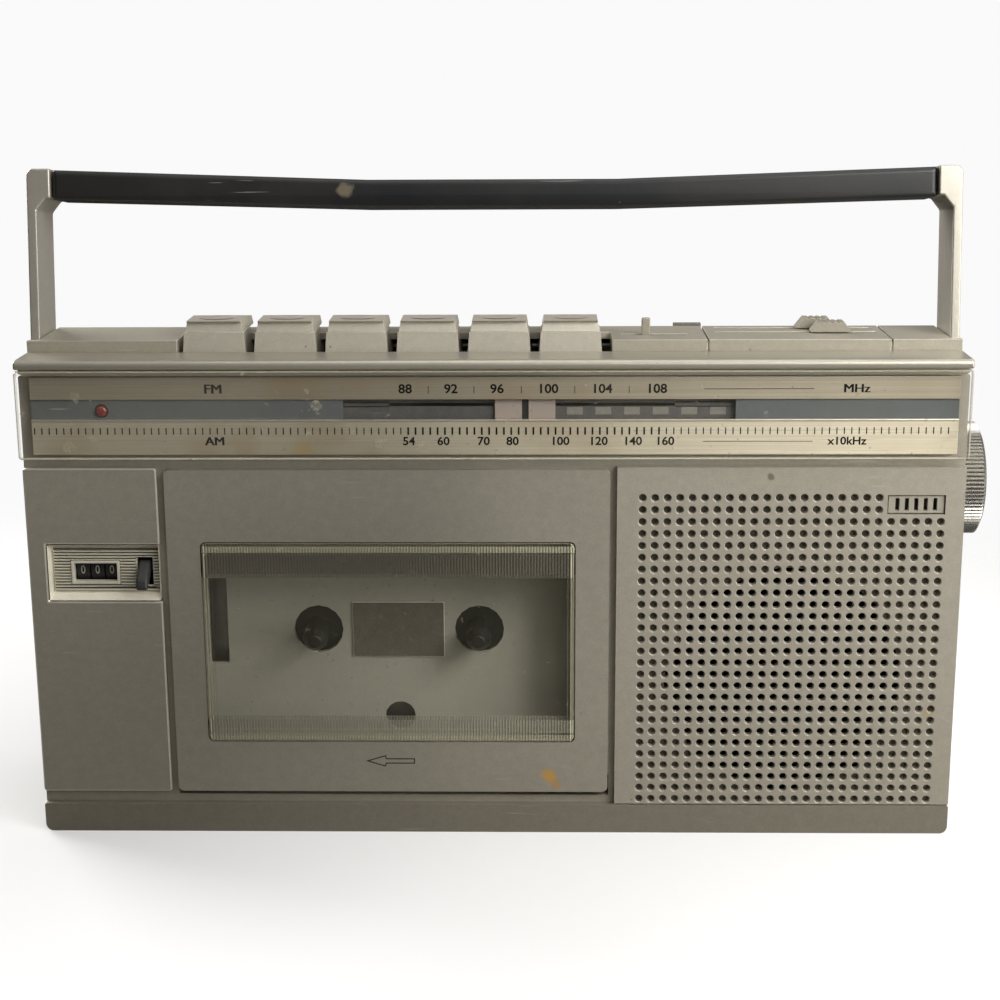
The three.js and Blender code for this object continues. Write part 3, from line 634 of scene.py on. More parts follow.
low, high = extent("speaker_grille")
bpy.ops.mesh.primitive_circle_add(vertices=14, radius=HOLE_RIM * MM, rotation=(math.pi / 2, 0, 0))
grille = bpy.context.object
grille.name = "speaker_grille_finished"
bpy.ops.object.transform_apply(location=True, rotation=True, scale=True)
bpy.ops.object.mode_set(mode="EDIT")
bpy.ops.mesh.select_all(action="SELECT")
for inward, back in ((1.03, 0.06), (HOLE, 0.24), (HOLE, high.y - low.y)):
    bpy.ops.mesh.extrude_edges_move(TRANSFORM_OT_translate={"value": (0, 0, 0)})
    bpy.ops.object.mode_set(mode="OBJECT")
    for vertex in grille.data.vertices:
        if vertex.select:
            flat = Vector((vertex.co.x, 0, vertex.co.z)).normalized() * inward * MM
            vertex.co = (flat.x, back * MM, flat.z)
    bpy.ops.object.mode_set(mode="EDIT")
bpy.ops.object.mode_set(mode="OBJECT")
repeat(grille, COLUMNS, x=GRID)
repeat(grille, ROWS, z=-GRID)
grille.data.transform(Matrix.Translation(Vector((FIRST_X, low.y, FIRST_Z)) * MM))
MIC_LEFT, MIC_FOOT = FIRST_X + 19.5 * GRID, FIRST_Z - 1.5 * GRID
choose(grille, "VERT", lambda vertex: vertex.co.x > MIC_LEFT * MM and vertex.co.z > MIC_FOOT * MM)
bpy.ops.mesh.delete(type="VERT")
bpy.ops.object.mode_set(mode="OBJECT")
mic_low, mic_high = extent("mic_plate")
for x0, x1, z0, z1 in ((low.x, high.x, low.z, high.z),
                       (mic_low.x - 0.3, mic_high.x + 0.3, mic_low.z - 0.3, mic_high.z + 0.3)):
    outline = box("outline", x0, x1, low.y, high.y, z0, z1)
    choose(outline, "FACE", lambda face: abs(face.normal.y) > 0.9)
    bpy.ops.mesh.delete(type="ONLY_FACE")
    bpy.ops.object.mode_set(mode="OBJECT")
    add_on(grille, outline)


def is_rim(edge, level, faces_on):
    """Whether an edge lies on one face of the panel and has nothing joined to its open side."""
    ends = [grille.data.vertices[v].co.y for v in edge.vertices]
    return faces_on.get(edge.key, 0) < 2 and all(abs(y - level * MM) < 0.00001 for y in ends)


for level in (low.y, high.y):
    faces_on = {}
    for face in grille.data.polygons:
        for key in face.edge_keys:
            faces_on[key] = faces_on.get(key, 0) + 1
    choose(grille, "EDGE", lambda edge: is_rim(edge, level, faces_on))
    bpy.ops.mesh.fill(use_beauty=True)
    bpy.ops.object.mode_set(mode="OBJECT")
select_only(grille)
bpy.ops.object.mode_set(mode="EDIT")
bpy.ops.mesh.select_all(action="SELECT")
bpy.ops.mesh.remove_doubles(threshold=0.000002)
bpy.ops.mesh.normals_make_consistent(inside=False)
bpy.ops.object.mode_set(mode="OBJECT")
smooth(grille, 18)
grille_paint = finish_material("grille_lacquer", (0.43, 0.40, 0.333), 0.42, 0.35, dirt=0.14, grain=0.16)
FRONT_FACE = -28.0
stain(grille_paint, (111.5, FRONT_FACE, 33), 1.8, (0.40, 0.31, 0.13), 0.55)
stain(grille_paint, (69.5, FRONT_FACE, 95.6), 1.6, (0.10, 0.085, 0.06), 0.7)
fit(grille, grille_paint, "cabinet", "silver_paint", "speaker_grille")

liner = box("grille_liner", 33, 116.5, high.y + 0.05, high.y + 0.22, 8.6, 97)
cut_away(liner, rod("opening", "Y", 31.6, -28, -24, (74.6, 41.4), 8))
cut_away(liner, box("opening", mic_low.x - 1, mic_high.x + 1, -28, -24, mic_low.z - 1, mic_high.z + 1))
liner_cloth = finish_material("brown_liner", (0.17, 0.155, 0.125), 0.9, dirt=0.5, grain=0.5, relief=0.2)
fit(liner, liner_cloth, "cabinet", "grey_plastic")

worked("mic_plate", grille_paint, "cabinet", "light_plastic", 0.12)
worked("microphone", black, "cabinet", "steel", 0.2)
cone_paper = finish_material("cone_paper", (0.006, 0.006, 0.0065), 0.9, dirt=0.1, grain=0.4, relief=0.3,
                             specular=0.15)
cone = copy_of("speaker_cone", "speaker_cone_finished")
smooth(cone, 60)
fit(cone, cone_paper, "cabinet", "cone_paper", "speaker_cone")
worked("speaker_basket", black, "cabinet", "steel", 0.2)

# ---- Cassette door ----
# A silver lacquered moulding hinged along the foot of the front. A thin outlined arrow is printed under
# its window, and a rusty stain has dried on the lacquer near the right end of its lower edge.

door_paint = finish_material("door_lacquer", (0.41, 0.383, 0.32), 0.38, 0.4, dirt=0.14, grain=0.16)
stain(door_paint, (14.2, FRONT_FACE, 15.8), 3.2, (0.62, 0.34, 0.06), 0.8)
stain(door_paint, (16.4, FRONT_FACE, 13.4), 2.4, (0.50, 0.30, 0.10), 0.6)
door = copy_of("cassette_door", "cassette_door_finished")
round_edges(door, 0.55, 3)
smooth(door)
fit(door, door_paint, "door", "silver_paint", "cassette_door", edges=worn_and_highlit_silver)

# Two thin black sheets under the door's lower edge are painted shade for the hinge gaps.
hinge_gap_shades = box("door_hinge_gap_shade_left", -75.7, -67.6, -26.3, -26.03, 10.3, 11.0)
add_on(hinge_gap_shades, box("door_hinge_gap_shade_right", 16.2, 24.5, -26.3, -26.03, 10.3, 11.0))
fit(hinge_gap_shades, black, "cabinet", "black_plastic")

dark_print = finish_material("dark_print", (0.010, 0.010, 0.009), 0.5, dirt=0.12,
                             dirt_colour=(0.2, 0.18, 0.13))
bpy.ops.mesh.primitive_plane_add(size=1)
arrow = bpy.context.object
arrow.name = "door_arrow"
bpy.ops.object.mode_set(mode="EDIT")
bpy.ops.mesh.delete(type="VERT")
bpy.ops.object.mode_set(mode="OBJECT")
TIP, NECK, TAIL, HALF, SHAFT, ARROW_Z = -33.3, -28.2, -20.5, 1.6, 0.75, 19.7
corners = [(TIP, 0), (NECK, -HALF), (NECK + 0.4, -SHAFT), (TAIL, -SHAFT), (TAIL, SHAFT), (NECK + 0.4, SHAFT),
           (NECK, HALF)]
points = [Vector((x, FRONT_FACE - 0.015, ARROW_Z + z)) * MM for x, z in corners]
arrow.data.from_pydata(points, [], [range(len(points))])
select_only(arrow)
bpy.ops.object.mode_set(mode="EDIT")
bpy.ops.mesh.select_all(action="SELECT")
bpy.ops.mesh.inset(thickness=0.3 * MM)
bpy.ops.mesh.delete(type="FACE")
bpy.ops.mesh.select_all(action="SELECT")
bpy.ops.mesh.normals_make_consistent(inside=False)
bpy.ops.object.mode_set(mode="OBJECT")
apply_modifier(arrow, "SOLIDIFY", thickness=0.02 * MM, offset=0)
fit(arrow, dark_print, "door", "black_plastic")

# ---- Door window ----
# One injection-moulded clear acrylic pane with a bevelled border, yellowed and dusty with age. Bands of
# fine upright ribs cross its top and its foot. The bevelled border is tinted pale as painted highlight,
# stronger along the top and right and weaker along the foot and left; the upper rib band and thin lines just
# inside the side bevels are tinted dark.

RIB_PITCH = 0.75


def clear_material(name, tint, alpha, edge_alpha, roughness, bands=(), dust=0.1, sides=1.0, smudges=()):
    """Clear plastic drawn as coverage: more in dusty patches, in ribbed bands and on sloping edges."""
    material = bpy.data.materials.new(name)
    material.use_nodes = True
    tree = material.node_tree
    shader = tree.nodes["Principled BSDF"]
    shader.inputs["Base Color"].default_value = (*tint, 1)
    shader.inputs["IOR"].default_value = 1.49
    place = tree.nodes.new("ShaderNodeTexCoord").outputs["Object"]
    patches = spread(tree, noise(tree, place, 22, 6.0, 0.65), 0.45, 0.75, 0.0, dust)
    specks = spread(tree, noise(tree, place, 450, 2.0), 0.69, 0.74, 0.0, dust * 5)
    cover = plus(tree, plus(tree, patches, specks), alpha)
    grime = spread(tree, noise(tree, place, 900, 3.0), 0.45, 0.62, 0.25, 1.0)
    for centre, reach, strength in smudges:
        cover = plus(tree, cover, times(tree, blot(tree, centre, reach, strength), grime))
    parts = tree.nodes.new("ShaderNodeSeparateXYZ")
    tree.links.new(place, parts.inputs["Vector"])
    band_mask, colour = 0.0, tint
    for axis, low, high, band_colour in bands:
        inside = times(tree, spread(tree, parts.outputs[axis], low * MM, (low + 0.3) * MM),
                       spread(tree, parts.outputs[axis], high * MM, (high - 0.3) * MM))
        band_mask = plus(tree, band_mask, inside)
        colour = blend_colour(tree, inside, colour, band_colour)
    slope = tree.nodes.new("ShaderNodeSeparateXYZ")
    tree.links.new(tree.nodes.new("ShaderNodeTexCoord").outputs["Normal"], slope.inputs["Vector"])
    squares = [times(tree, slope.outputs[axis], slope.outputs[axis]) for axis in "XY"]
    edge = times(tree, spread(tree, squares[1], 0.95, 0.6, 0.0, edge_alpha),
                 spread(tree, squares[0], 0.1, 0.6, 1.0, sides))
    cover = plus(tree, cover, edge)
    if bands:
        wave = calculate(tree, "SINE", times(tree, parts.outputs["X"], 2 * math.pi / (RIB_PITCH * MM)))
        ridge = times(tree, spread(tree, wave, -1, 1), band_mask)
        cover = plus(tree, cover, times(tree, plus(tree, band_mask, times(tree, ridge, 0.5)), 0.42))
        tree.links.new(colour, shader.inputs["Base Color"])
        bump = tree.nodes.new("ShaderNodeBump")
        bump.inputs["Distance"].default_value = 0.12 * MM
        tree.links.new(ridge, bump.inputs["Height"])
        tree.links.new(bump.outputs["Normal"], shader.inputs["Normal"])
    tree.links.new(cover, shader.inputs["Alpha"])
    tree.links.new(plus(tree, times(tree, patches, 1.5), roughness), shader.inputs["Roughness"])
    return material


# Band tints for the pane: the pale edge tints are painted highlight on the bevel, stronger at top and right;
# the dark tint lies on the upper rib band and just inside the side bevels.
EDGE_HIGHLIGHT_STRONG, EDGE_HIGHLIGHT_WEAK = (0.50, 0.48, 0.34), (0.42, 0.40, 0.29)
FOOT_RIBS, DARK_BAND_TINT = (0.30, 0.285, 0.22), (0.14, 0.13, 0.10)
pane = clear_material("window_acrylic", (0.36, 0.33, 0.23), 0.035, 0.6, 0.12, dust=0.06,
                      bands=(("Z", 75.7, 77.7, EDGE_HIGHLIGHT_STRONG), ("Z", 69.2, 75.6, DARK_BAND_TINT),
                             ("Z", 27.4, 31.2, FOOT_RIBS), ("Z", 25.3, 27.2, EDGE_HIGHLIGHT_WEAK),
                             ("X", -73.7, -72.9, EDGE_HIGHLIGHT_WEAK), ("X", -72.3, -71.9, DARK_BAND_TINT),
                             ("X", 18.9, 19.3, DARK_BAND_TINT), ("X", 19.6, 20.6, EDGE_HIGHLIGHT_STRONG)))
window = copy_of("door_window", "door_window_finished")
round_edges(window, 0.9, 2)
smooth(window, 20)
fit(window, pane, "door", "clear_lens", "door_window")

# ---- Cassette holder, bay and drive ----
# Behind the door lies the pale moulded bay plate, pierced for the drive. Black moulded spindles turn the
# reels, a steel capstan and a rubber roller move the tape, and the heads stand on a steel slide.

bay_plastic = finish_material("bay_plastic", (0.46, 0.45, 0.36), 0.5, dirt=0.12, grain=0.12)
bay = copy_of("cassette_bay", "cassette_bay_finished")
PLATE_Y = -12.0
round_edges(bay, 0.3)
smooth(bay)
fit(bay, bay_plastic, "cabinet", "light_plastic", "cassette_bay")
raised = box("bay_raised_panel", -37.5, -13.2, PLATE_Y - 0.45, PLATE_Y - 0.01, 42.9, 58.1)
for _ in ("faces", "edges"):
    raised.data.materials.append(None)
round_edges(raised, 0.18, 2)
smooth(raised)
panel_brown = finish_material("bay_panel_brown", (0.17, 0.155, 0.12), 0.5, dirt=0.2, grain=0.3)
fit(raised, panel_brown, "cabinet", "light_plastic", edges=pale)
worked("cassette_holder", grey, "door", "grey_plastic", 0.3)
worked("door_hinge_rod", steel, "cabinet", "steel", 0.1)

spindle_black = finish_material("spindle_black", (0.008, 0.008, 0.007), 0.34, dirt=0.05, specular=0.45)
for node, body in (("takeup_spindle", "takeup"), ("supply_spindle", "supply")):
    spindle = copy_of(node, node + "_finished")
    round_edges(spindle, 0.25)
    smooth(spindle)
    fit(spindle, spindle_black, body, "black_plastic", node)
brass = finish_material("turned_brass", (0.42, 0.31, 0.12), 0.28, 1.0, dirt=0.25, grain=0.08)
rubber = finish_material("soft_rubber", (0.022, 0.022, 0.022), 0.75, dirt=0.3, dirt_colour=(0.1, 0.09, 0.07))
chrome = finish_material("chromed_tube", (0.72, 0.72, 0.70), 0.12, 1.0, dirt=0.15, grain=0.04)
worked("flywheel", brass, "flywheel_body", "brass_metal", 0.2)
worked("motor_pulley", brass, "motor_rotor", "brass_metal", 0.1)
worked("motor", steel, "cabinet", "steel", 0.5)
worked("head_bridge", steel, "head_carriage", "steel", 0.15)
worked("record_play_head", chrome, "head_carriage", "chrome_tube", 0.6)
worked("erase_head", black, "head_carriage", "black_plastic", 0.5)
worked("pinch_arm", steel, "pinch", "steel", 0.15)
worked("pinch_roller", rubber, "roller", "rubber_black", 0.35)
worked("mechanism_chassis", steel, "cabinet", "steel", 0.15)
worked("key_shaft", steel, "cabinet", "steel", 0.2)
belt = copy_of("drive_belt", "drive_belt_finished")
smooth(belt, 60)
fit(belt, rubber, "cabinet", "rubber_black", "drive_belt")

# ---- Circuit boards, tuning capacitor and sockets ----
# Brown phenolic boards carry the radio; the tuning capacitor is a moulded block on the end of the knob's
# shaft. The sockets are one black moulding let into the left side.

phenolic = finish_material("phenolic_board", (0.19, 0.10, 0.035), 0.5, dirt=0.3, grain=0.2)
worked("circuit_board", phenolic, "cabinet", "board", 0.15)
worked("slider_board", phenolic, "cabinet", "board", 0.15)
worked("tuning_capacitor", pale, "cabinet", "light_plastic", 0.5)
worked("tuning_shaft", steel, "tuning", "steel", 0.2)
worked("jack_block", black, "cabinet", "black_plastic", 0.3)

# ---- Dial ----
# A printed champagne aluminium scale with fine brushing along its length, in two strips with a sunk
# blue-grey band between them; the lower strip is a brighter copy of the champagne as painted highlight and
# the upper a darker copy as painted shade. The pointer's two cream blocks slide behind an opening in the
# band.

DIAL_LEFT, DIAL_RIGHT, DIAL_FOOT, DIAL_TOP = -114.8, 115.3, 101.3, 120.95
BAND_LOW, BAND_HIGH = 110.2, 115.3
OPEN_LEFT, OPEN_RIGHT = -36.9, 60.4
DIAL_FACE = -28.2


def brushed_material(name, colour, dark, roughness, metallic):
    material = bpy.data.materials.new(name)
    material.use_nodes = True
    tree = material.node_tree
    shader = tree.nodes["Principled BSDF"]
    shader.inputs["Metallic"].default_value = metallic
    place = tree.nodes.new("ShaderNodeTexCoord").outputs["Object"]
    lines = noise(tree, place, 300, 3.0, 0.6, (0.03, 1.0, 9.0))
    broad = noise(tree, place, 16, 4.0, 0.6)
    soot = spread(tree, noise(tree, place, 34, 5.0, 0.65, (1.0, 1.0, 2.0)), 0.58, 0.78, 0.0, 0.4)
    base = blend_colour(tree, spread(tree, lines, 0.35, 0.65, 0.0, 0.5), colour, dark)
    base = blend_colour(tree, spread(tree, broad, 0.42, 0.66, 0.0, 0.35), base, dark)
    base = blend_colour(tree, soot, base, (0.12, 0.10, 0.06))
    parts = tree.nodes.new("ShaderNodeSeparateXYZ")
    tree.links.new(place, parts.inputs["Vector"])
    # The scale darkens towards its left end, with brown blotches laid in the same area.
    darker_to_left = spread(tree, parts.outputs["X"], 0.09, -0.04, 0.0, 0.62)
    base = blend_colour(tree, darker_to_left, base, (0.19, 0.17, 0.125))
    browned = times(tree, spread(tree, noise(tree, place, 30, 2.0), 0.52, 0.66, 0.0, 0.7), darker_to_left)
    base = blend_colour(tree, browned, base, (0.30, 0.20, 0.10))
    tree.links.new(base, shader.inputs["Base Color"])
    sheen = spread(tree, lines, 0.3, 0.7, roughness - 0.06, roughness + 0.1)
    tree.links.new(sheen, shader.inputs["Roughness"])
    bump = tree.nodes.new("ShaderNodeBump")
    bump.inputs["Distance"].default_value = 0.02 * MM
    tree.links.new(lines, bump.inputs["Height"])
    tree.links.new(bump.outputs["Normal"], shader.inputs["Normal"])
    return material


# One champagne finish in two copies: the lower brightened as painted highlight, the upper darkened as
# painted shade.
champagne = brushed_material("champagne_scale_highlit", (0.92, 0.86, 0.69), (0.60, 0.50, 0.33), 0.30, 0.3)
shaded_champagne = brushed_material("champagne_upper_shaded", (0.60, 0.54, 0.42), (0.36, 0.30, 0.20), 0.32, 0.4)
dial_ink = finish_material("dial_ink", (0.002, 0.002, 0.002), 0.6, dirt=0.0, grain=0.0, specular=0.1)
blue_grey = finish_material("blue_grey_band", (0.10, 0.112, 0.115), 0.4, dirt=0.2, grain=0.12)
bright_line = finish_material("bright_line", (0.75, 0.70, 0.58), 0.25, 0.8, dirt=0.2)
for place, reach, colour, strength in (((-47.5, DIAL_FACE, 101.6), 4.6, (0.42, 0.31, 0.10), 0.45),
                                       ((-74, DIAL_FACE, 118), 5.5, (0.30, 0.19, 0.09), 0.4),
                                       ((-62, DIAL_FACE, 105), 6.5, (0.30, 0.20, 0.09), 0.25)):
    stain(champagne, place, reach, colour, strength)
upper = box("dial_upper_strip", DIAL_LEFT, DIAL_RIGHT, DIAL_FACE, -27.3, BAND_HIGH, DIAL_TOP)
lower = box("dial_lower_strip", DIAL_LEFT, DIAL_RIGHT, DIAL_FACE, -27.3, DIAL_FOOT, BAND_LOW)
for strip, paint in ((upper, shaded_champagne), (lower, champagne)):
    round_edges(strip, 0.18)
    smooth(strip)
    fit(strip, paint, "cabinet", "dial_champagne", "dial_scale")
band = box("dial_band", DIAL_LEFT, DIAL_RIGHT, -27.6, -27.2, BAND_LOW - 0.3, BAND_HIGH + 0.3)
cut_away(band, box("opening", OPEN_LEFT, OPEN_RIGHT, *THROUGH, BAND_LOW - 1, BAND_HIGH + 1))
led_low, led_high = extent("record_led")
led_place = ((led_low.x + led_high.x) / 2, (led_low.z + led_high.z) / 2)
cut_away(band, rod("led_hole", "Y", 1.75, *THROUGH, led_place, 24))
fit(band, blue_grey, "cabinet", "grey_plastic")
edge = box("dial_edge_line", DIAL_LEFT, DIAL_RIGHT, -28.35, -27.4, BAND_LOW - 0.45, BAND_LOW + 0.05)
round_edges(edge, 0.15)
fit(edge, bright_line, "cabinet", "rim_metal")

rail_black = finish_material("rail_black", (0.09, 0.088, 0.085), 0.6, dirt=0.3, grain=0.4)
STUB_LOW, STUB_HIGH = 113.4, 114.0
backing = box("dial_rail", OPEN_LEFT - 2, OPEN_RIGHT + 2, -26.15, -26.02, BAND_LOW - 0.6, STUB_LOW - 0.15)
add_on(backing, box("top", OPEN_LEFT - 2, OPEN_RIGHT + 2, -26.15, -26.02, STUB_HIGH + 0.1, BAND_HIGH + 0.6),
       box("left", OPEN_LEFT - 2, -25.5, -26.15, -26.02, STUB_LOW - 0.4, STUB_HIGH + 0.4),
       box("right", 45.5, OPEN_RIGHT + 2, -26.15, -26.02, STUB_LOW - 0.4, STUB_HIGH + 0.4))
fit(backing, rail_black, "cabinet", "black_plastic")
lights = box("dial_rail_marks", 18.7, 22.6, -26.18, -26.1, 111.1, 113.0)
repeat(lights, 6, x=7.1)
faded_mark = finish_material("faded_mark", (0.22, 0.21, 0.18), 0.6, dirt=0.4, grain=0.3)
fit(lights, faded_mark, "cabinet", "grey_plastic")

TICK_PITCH = 1.83
ticks = box("dial_ticks", DIAL_LEFT + 0.6, DIAL_LEFT + 0.88, -28.23, -28.18, 106.5, 108.2)
repeat(ticks, 125, x=TICK_PITCH)
fit(ticks, dial_ink, "cabinet", "black_plastic")
FIRST_BOLD = DIAL_LEFT + 0.74 + 51 * TICK_PITCH
main_ticks = box("dial_main_ticks", FIRST_BOLD - 0.22, FIRST_BOLD + 0.22, -28.24, -28.18, 106.4, 108.3)
repeat(main_ticks, 35, x=TICK_PITCH)
PRINT_Y = -28.21
FM_Z, AM_Z = 117.9, 104.7
marks = [main_ticks]
for text, x in (("88", -21.3), ("92", -10), ("96", 1.4), ("100", 14), ("104", 27.3), ("108", 40.8)):
    marks.append(lettering("fm_number", text, 2.3, (x, PRINT_Y, FM_Z), stretch=1.08, weight=0.03))
for x in (-15.6, -4.3, 7.4, 20.6, 34.0):
    marks.append(lettering("fm_mark", "|", 1.5, (x, PRINT_Y, FM_Z)))
for text, x in (("54", -20.6), ("60", -12), ("70", -2), ("80", 5.2), ("100", 17), ("120", 26.5), ("140", 35),
                ("160", 43)):
    marks.append(lettering("am_number", text, 2.1, (x, PRINT_Y, AM_Z), stretch=1.08, weight=0.03))
for text, height, x, z in (("FM", 2.4, -69, FM_Z), ("AM", 2.2, -69, AM_Z), ("MHz", 2.2, 89.9, FM_Z)):
    for shift in (-0.11, 0.11):
        place = (x + shift, PRINT_Y - 0.005 * (shift > 0), z)
        marks.append(lettering("name", text, height, place, stretch=1.12))
marks.append(lettering("am_unit", "x10kHz", 2.0, (88, PRINT_Y, AM_Z), stretch=1.1, weight=0.03))
for z in (FM_Z, AM_Z):
    marks.append(box("scale_line", 52.4, 79.5, -28.24, -28.18, z - 0.07, z + 0.07))
marks[0].name = "dial_print"
add_on(marks[0], *marks[1:])
fit(marks[0], dial_ink, "cabinet", "black_plastic")

cream = finish_material("pointer_cream", (0.33, 0.275, 0.235), 0.45, dirt=0.15)
low, high = extent("dial_pointer")
blocks = []
for x0, x1 in ((low.x, 7.5), (9.15, high.x)):
    blocks.append(box("pointer_block", x0, x1, low.y, low.y + 0.6, 109.8, 115.8))
blocks.append(box("pointer_back", low.x, high.x, low.y + 0.5, low.y + 0.65, 109.6, 116.0))
blocks.append(box("pointer_stub", 7, 9.6, low.y + 0.6, -22.2, STUB_LOW, STUB_HIGH))
for block in blocks:
    round_edges(block, 0.12)
blocks[0].name = "dial_pointer_finished"
add_on(blocks[0], *blocks[1:])
smooth(blocks[0])
fit(blocks[0], cream, "pointer", "pointer_cream", "dial_pointer")
needle = box("pointer_line", 7.6, 9.05, low.y + 0.35, low.y + 0.48, 109.9, 115.7)
fit(needle, dark_print, "pointer", "black_plastic")

lamp = finish_material("red_lamp", (0.17, 0.005, 0.005), 0.2, coat=0.5, dirt=0.2)
led = copy_of("record_led", "record_led_finished")
round_edges(led, 0.9, 4)
smooth(led)
fit(led, lamp, "cabinet", "led_red", "record_led")

lens_face = extent("dial_lens")[0].y
smears = [((x, lens_face, z), reach, strength) for x, z, reach, strength in (
    (-43.2, 114.4, 2.4, 0.6), (-44.7, 107.2, 2.0, 0.5), (-27.7, 104.8, 2.7, 0.5), (-34, 108.2, 2.6, 0.3),
    (-17.5, 104.0, 2.2, 0.35), (-105, 103.6, 3.0, 0.4), (-99, 106.5, 2.4, 0.35), (-103, 116.4, 2.2, 0.35))]
lens_clear = clear_material("lens_acrylic", (0.46, 0.43, 0.33), 0.012, 0.8, 0.1, dust=0.05, sides=0.6,
                            smudges=smears)
lens = copy_of("dial_lens", "dial_lens_finished")
round_edges(lens, 0.8, 1)
smooth(lens, 20)
fit(lens, lens_clear, "cabinet", "clear_lens", "dial_lens")

# ---- Keys ----
# Six moulded keys hollowed for the finger, lacquered silver, their edges made pale for wear and painted
# highlight, each with a thin printed arc on top; the arc on the recording key is red.

key_paint = finish_material("key_lacquer", (0.60, 0.565, 0.48), 0.34, 0.45, dirt=0.2, grain=0.14)
LEDGE = 130.2
KEY_TILT = math.radians(-4)
red_print = finish_material("red_print", (0.30, 0.05, 0.03), 0.5, dirt=0.2)


def lay_on_key(piece, size, place):
    """Gives a round form its half widths and its place on a key, tilted with the hollow."""
    piece.scale = [length * MM for length in size]
    piece.location = Vector(place) * MM
    piece.rotation_euler = (KEY_TILT, 0, 0)
    select_only(piece)
    bpy.ops.object.transform_apply(location=True, rotation=True, scale=True)


for name in ("pause", "stop_eject", "fast_forward", "rewind", "play", "record"):
    node = "key_" + name
    low, high = extent(node)
    middle = (low.x + high.x) / 2
    key = copy_of(node, node + "_finished")
    select_only(key)
    bpy.ops.object.mode_set(mode="EDIT")
    for level in (LEDGE - 0.12, LEDGE):
        bpy.ops.mesh.select_all(action="SELECT")
        bpy.ops.mesh.bisect(plane_co=(0, 0, level * MM), plane_no=(0, 0, 1))
    bpy.ops.object.mode_set(mode="OBJECT")
    for vertex in key.data.vertices:
        x, y, z = vertex.co.x / MM - middle, vertex.co.y / MM, vertex.co.z / MM
        if y > -4.0 or abs(x) < 7.5:
            continue
        if z < LEDGE - 0.05:
            taper = 0.65 * (z - low.z) / (LEDGE - low.z)
        else:
            taper = 0.95 + 0.45 * (z - LEDGE) / (high.z - LEDGE)
        vertex.co.x -= math.copysign(taper, x) * MM
    for vertex in key.data.vertices:
        y, z = vertex.co.y / MM, vertex.co.z / MM
        if y < low.y + 0.3:
            if z < LEDGE - 0.05:
                lean_back = 1.1 * (z - low.z) / (LEDGE - low.z)
            else:
                lean_back = 1.4 + 0.9 * (z - LEDGE) / (high.z - LEDGE)
            vertex.co.y += lean_back * MM
    back = box("cap_back", middle - 7.2, middle + 7.2, -6.0, high.y - 0.3, 129.6, high.z - 0.02)
    for vertex in back.data.vertices:
        if vertex.co.z > 131 * MM:
            vertex.co.x = (middle + math.copysign(6.8, vertex.co.x / MM - middle)) * MM
            if vertex.co.y > 0:
                vertex.co.z -= 1.3 * MM
    apply_modifier(key, "BOOLEAN", operation="UNION", object=back, solver="EXACT")
    bpy.data.objects.remove(back)
    bpy.ops.mesh.primitive_uv_sphere_add(segments=32, ring_count=16, radius=1)
    dish = bpy.context.object
    lay_on_key(dish, (5.6, 6.6, 1.5), (middle, -6.4, high.z + 0.75))
    cut_away(key, dish)
    round_edges(key, 0.5, 3)
    smooth(key)
    fit(key, key_paint, node + "_body", "key_silver", node, edges=worn_and_highlit_silver)
    bpy.ops.mesh.primitive_torus_add(major_segments=40, minor_segments=6, major_radius=1, minor_radius=0.03)
    arc = bpy.context.object
    arc.name = node + "_arc"
    lay_on_key(arc, (5.4, 6.2, 2), (middle, -6.6, high.z - 0.3))
    smooth(arc)
    fit(arc, red_print if name == "record" else dark_print, node + "_body", "black_plastic")

# ---- Slide controls ----
# A thin lever picks the function; two moulded caps set volume and tone. Both are sprayed like the case and
# grooved across the top for the finger.

worked("function_lever", silver, "function_switch", "light_plastic", 0.3, 3)
for node, body in (("volume_slider", "volume"), ("tone_slider", "tone")):
    low, high = extent(node)
    middle = (low.x + high.x) / 2
    cap = copy_of(node, node + "_finished")
    for x in (-1.6, 0.0, 1.6):
        cut_away(cap, box("groove", middle + x - 0.3, middle + x + 0.3, low.y - 1, high.y + 1,
                          high.z - 0.22, high.z + 1))
    round_edges(cap, 0.14)
    smooth(cap)
    fit(cap, silver, body, "key_silver", node)

# ---- Tuning knob ----
# A turned and knurled metal-faced knob on the right side, with about eighty fine ridges round its rim and
# a spun face.

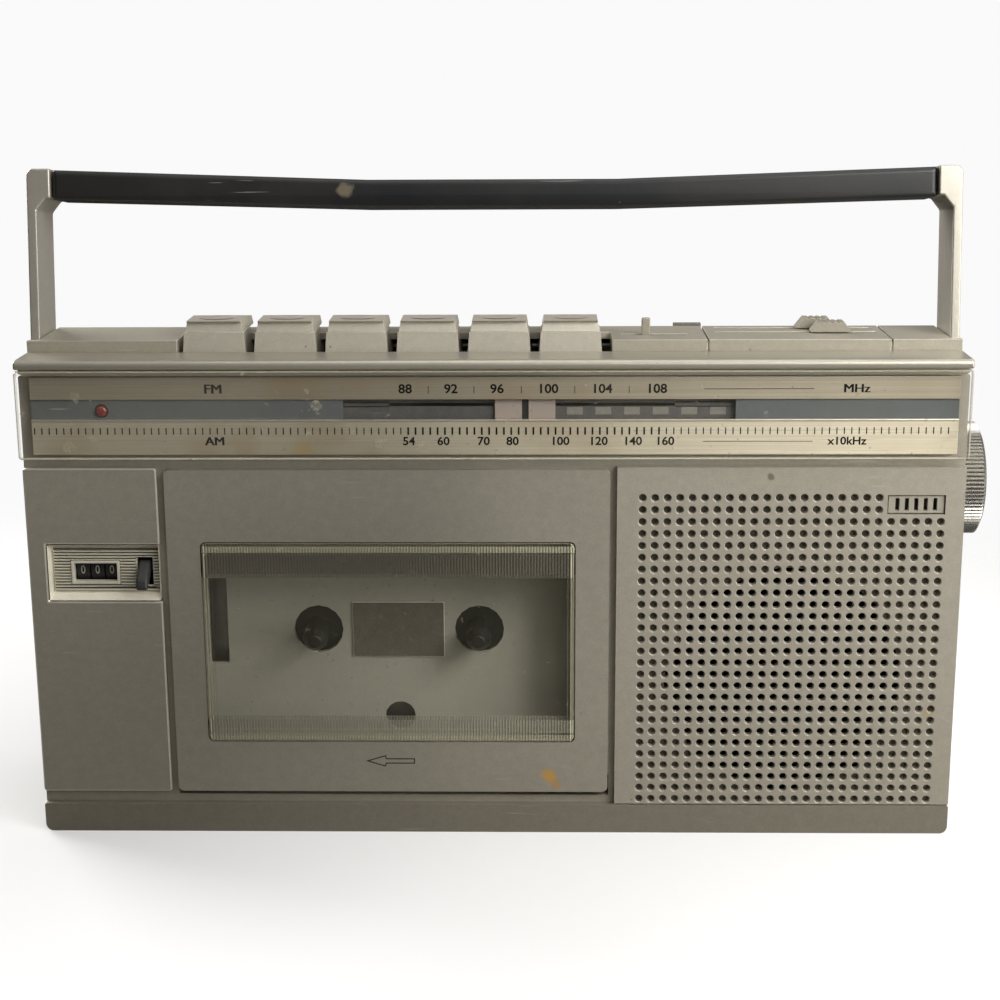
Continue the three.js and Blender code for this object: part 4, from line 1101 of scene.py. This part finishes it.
low, high = extent("tuning_knob")
RIDGES, KNOB_RADIUS, RIDGE_DEPTH = 84, 14.45, 0.7
axle = ((low.y + high.y) / 2, (low.z + high.z) / 2)
knob = rod("tuning_knob_finished", "X", KNOB_RADIUS, low.x + 0.6, high.x - 0.7, axle, RIDGES * 2)
for vertex in knob.data.vertices:
    offset = Vector((0, vertex.co.y - axle[0] * MM, vertex.co.z - axle[1] * MM))
    step = round(math.atan2(offset.z, offset.y) / (math.pi / RIDGES))
    if step % 2:
        vertex.co -= offset.normalized() * RIDGE_DEPTH * MM
rims = [rod("rim", "X", KNOB_RADIUS - 0.9, high.x - 0.75, high.x - 0.02, axle, 96, KNOB_RADIUS - 1.5),
        rod("rim", "X", KNOB_RADIUS - 0.1, low.x + 0.02, low.x + 0.65, axle, 96)]
for rim_piece in rims:
    round_edges(rim_piece, 0.2)
add_on(knob, *rims)
smooth(knob, 25)
knob_metal = finish_material("knob_metal", (0.32, 0.31, 0.285), 0.22, 0.9, dirt=0.3, grain=0.08,
                             dirt_colour=(0.10, 0.09, 0.07))
fit(knob, knob_metal, "tuning", "knob_metal", "tuning_knob")

# ---- Carry handle ----
# Two flat anodised arms pivot on the case sides and turn in at the top to hold a black moulded grip that
# sags a little in the middle. The grip is scuffed along its top and speckled with dirt.

arm_metal = finish_material("arm_metal", (0.52, 0.49, 0.425), 0.34, 0.6, dirt=0.25, grain=0.12,
                            dirt_colour=(0.09, 0.08, 0.06))
worked("handle_arm_left", arm_metal, "handle", "handle_silver", 0.45, 3)
worked("handle_arm_right", arm_metal, "handle", "handle_silver", 0.45, 3)
grip_black = finish_material("grip_black", (0.007, 0.008, 0.0095), 0.34, dirt=0.15, grain=0.1,
                             dirt_colour=(0.12, 0.10, 0.07), relief=0.04)
stain(grip_black, (-37, -7, 165), 3.2, (0.22, 0.18, 0.12), 0.6)
grip = copy_of("handle_grip", "handle_grip_finished")
round_edges(grip, 1.6, 4, 25)
smooth(grip, 40)
fit(grip, grip_black, "handle", "grip_black", "handle_grip")

# ---- Telescopic aerial ----
# Three chromed brass tubes in a bracket behind the deck, folded into a groove in the top of the case.
# The two thinner tubes slide one inside the other, and both into the mast.

worked("aerial_bracket", steel, "cabinet", "steel", 0.3)
for node, body in (("aerial_mast", "aerial"), ("aerial_middle", "aerial_second"),
                   ("aerial_tip", "aerial_end")):
    worked(node, chrome, body, "chrome_tube", 0.2)
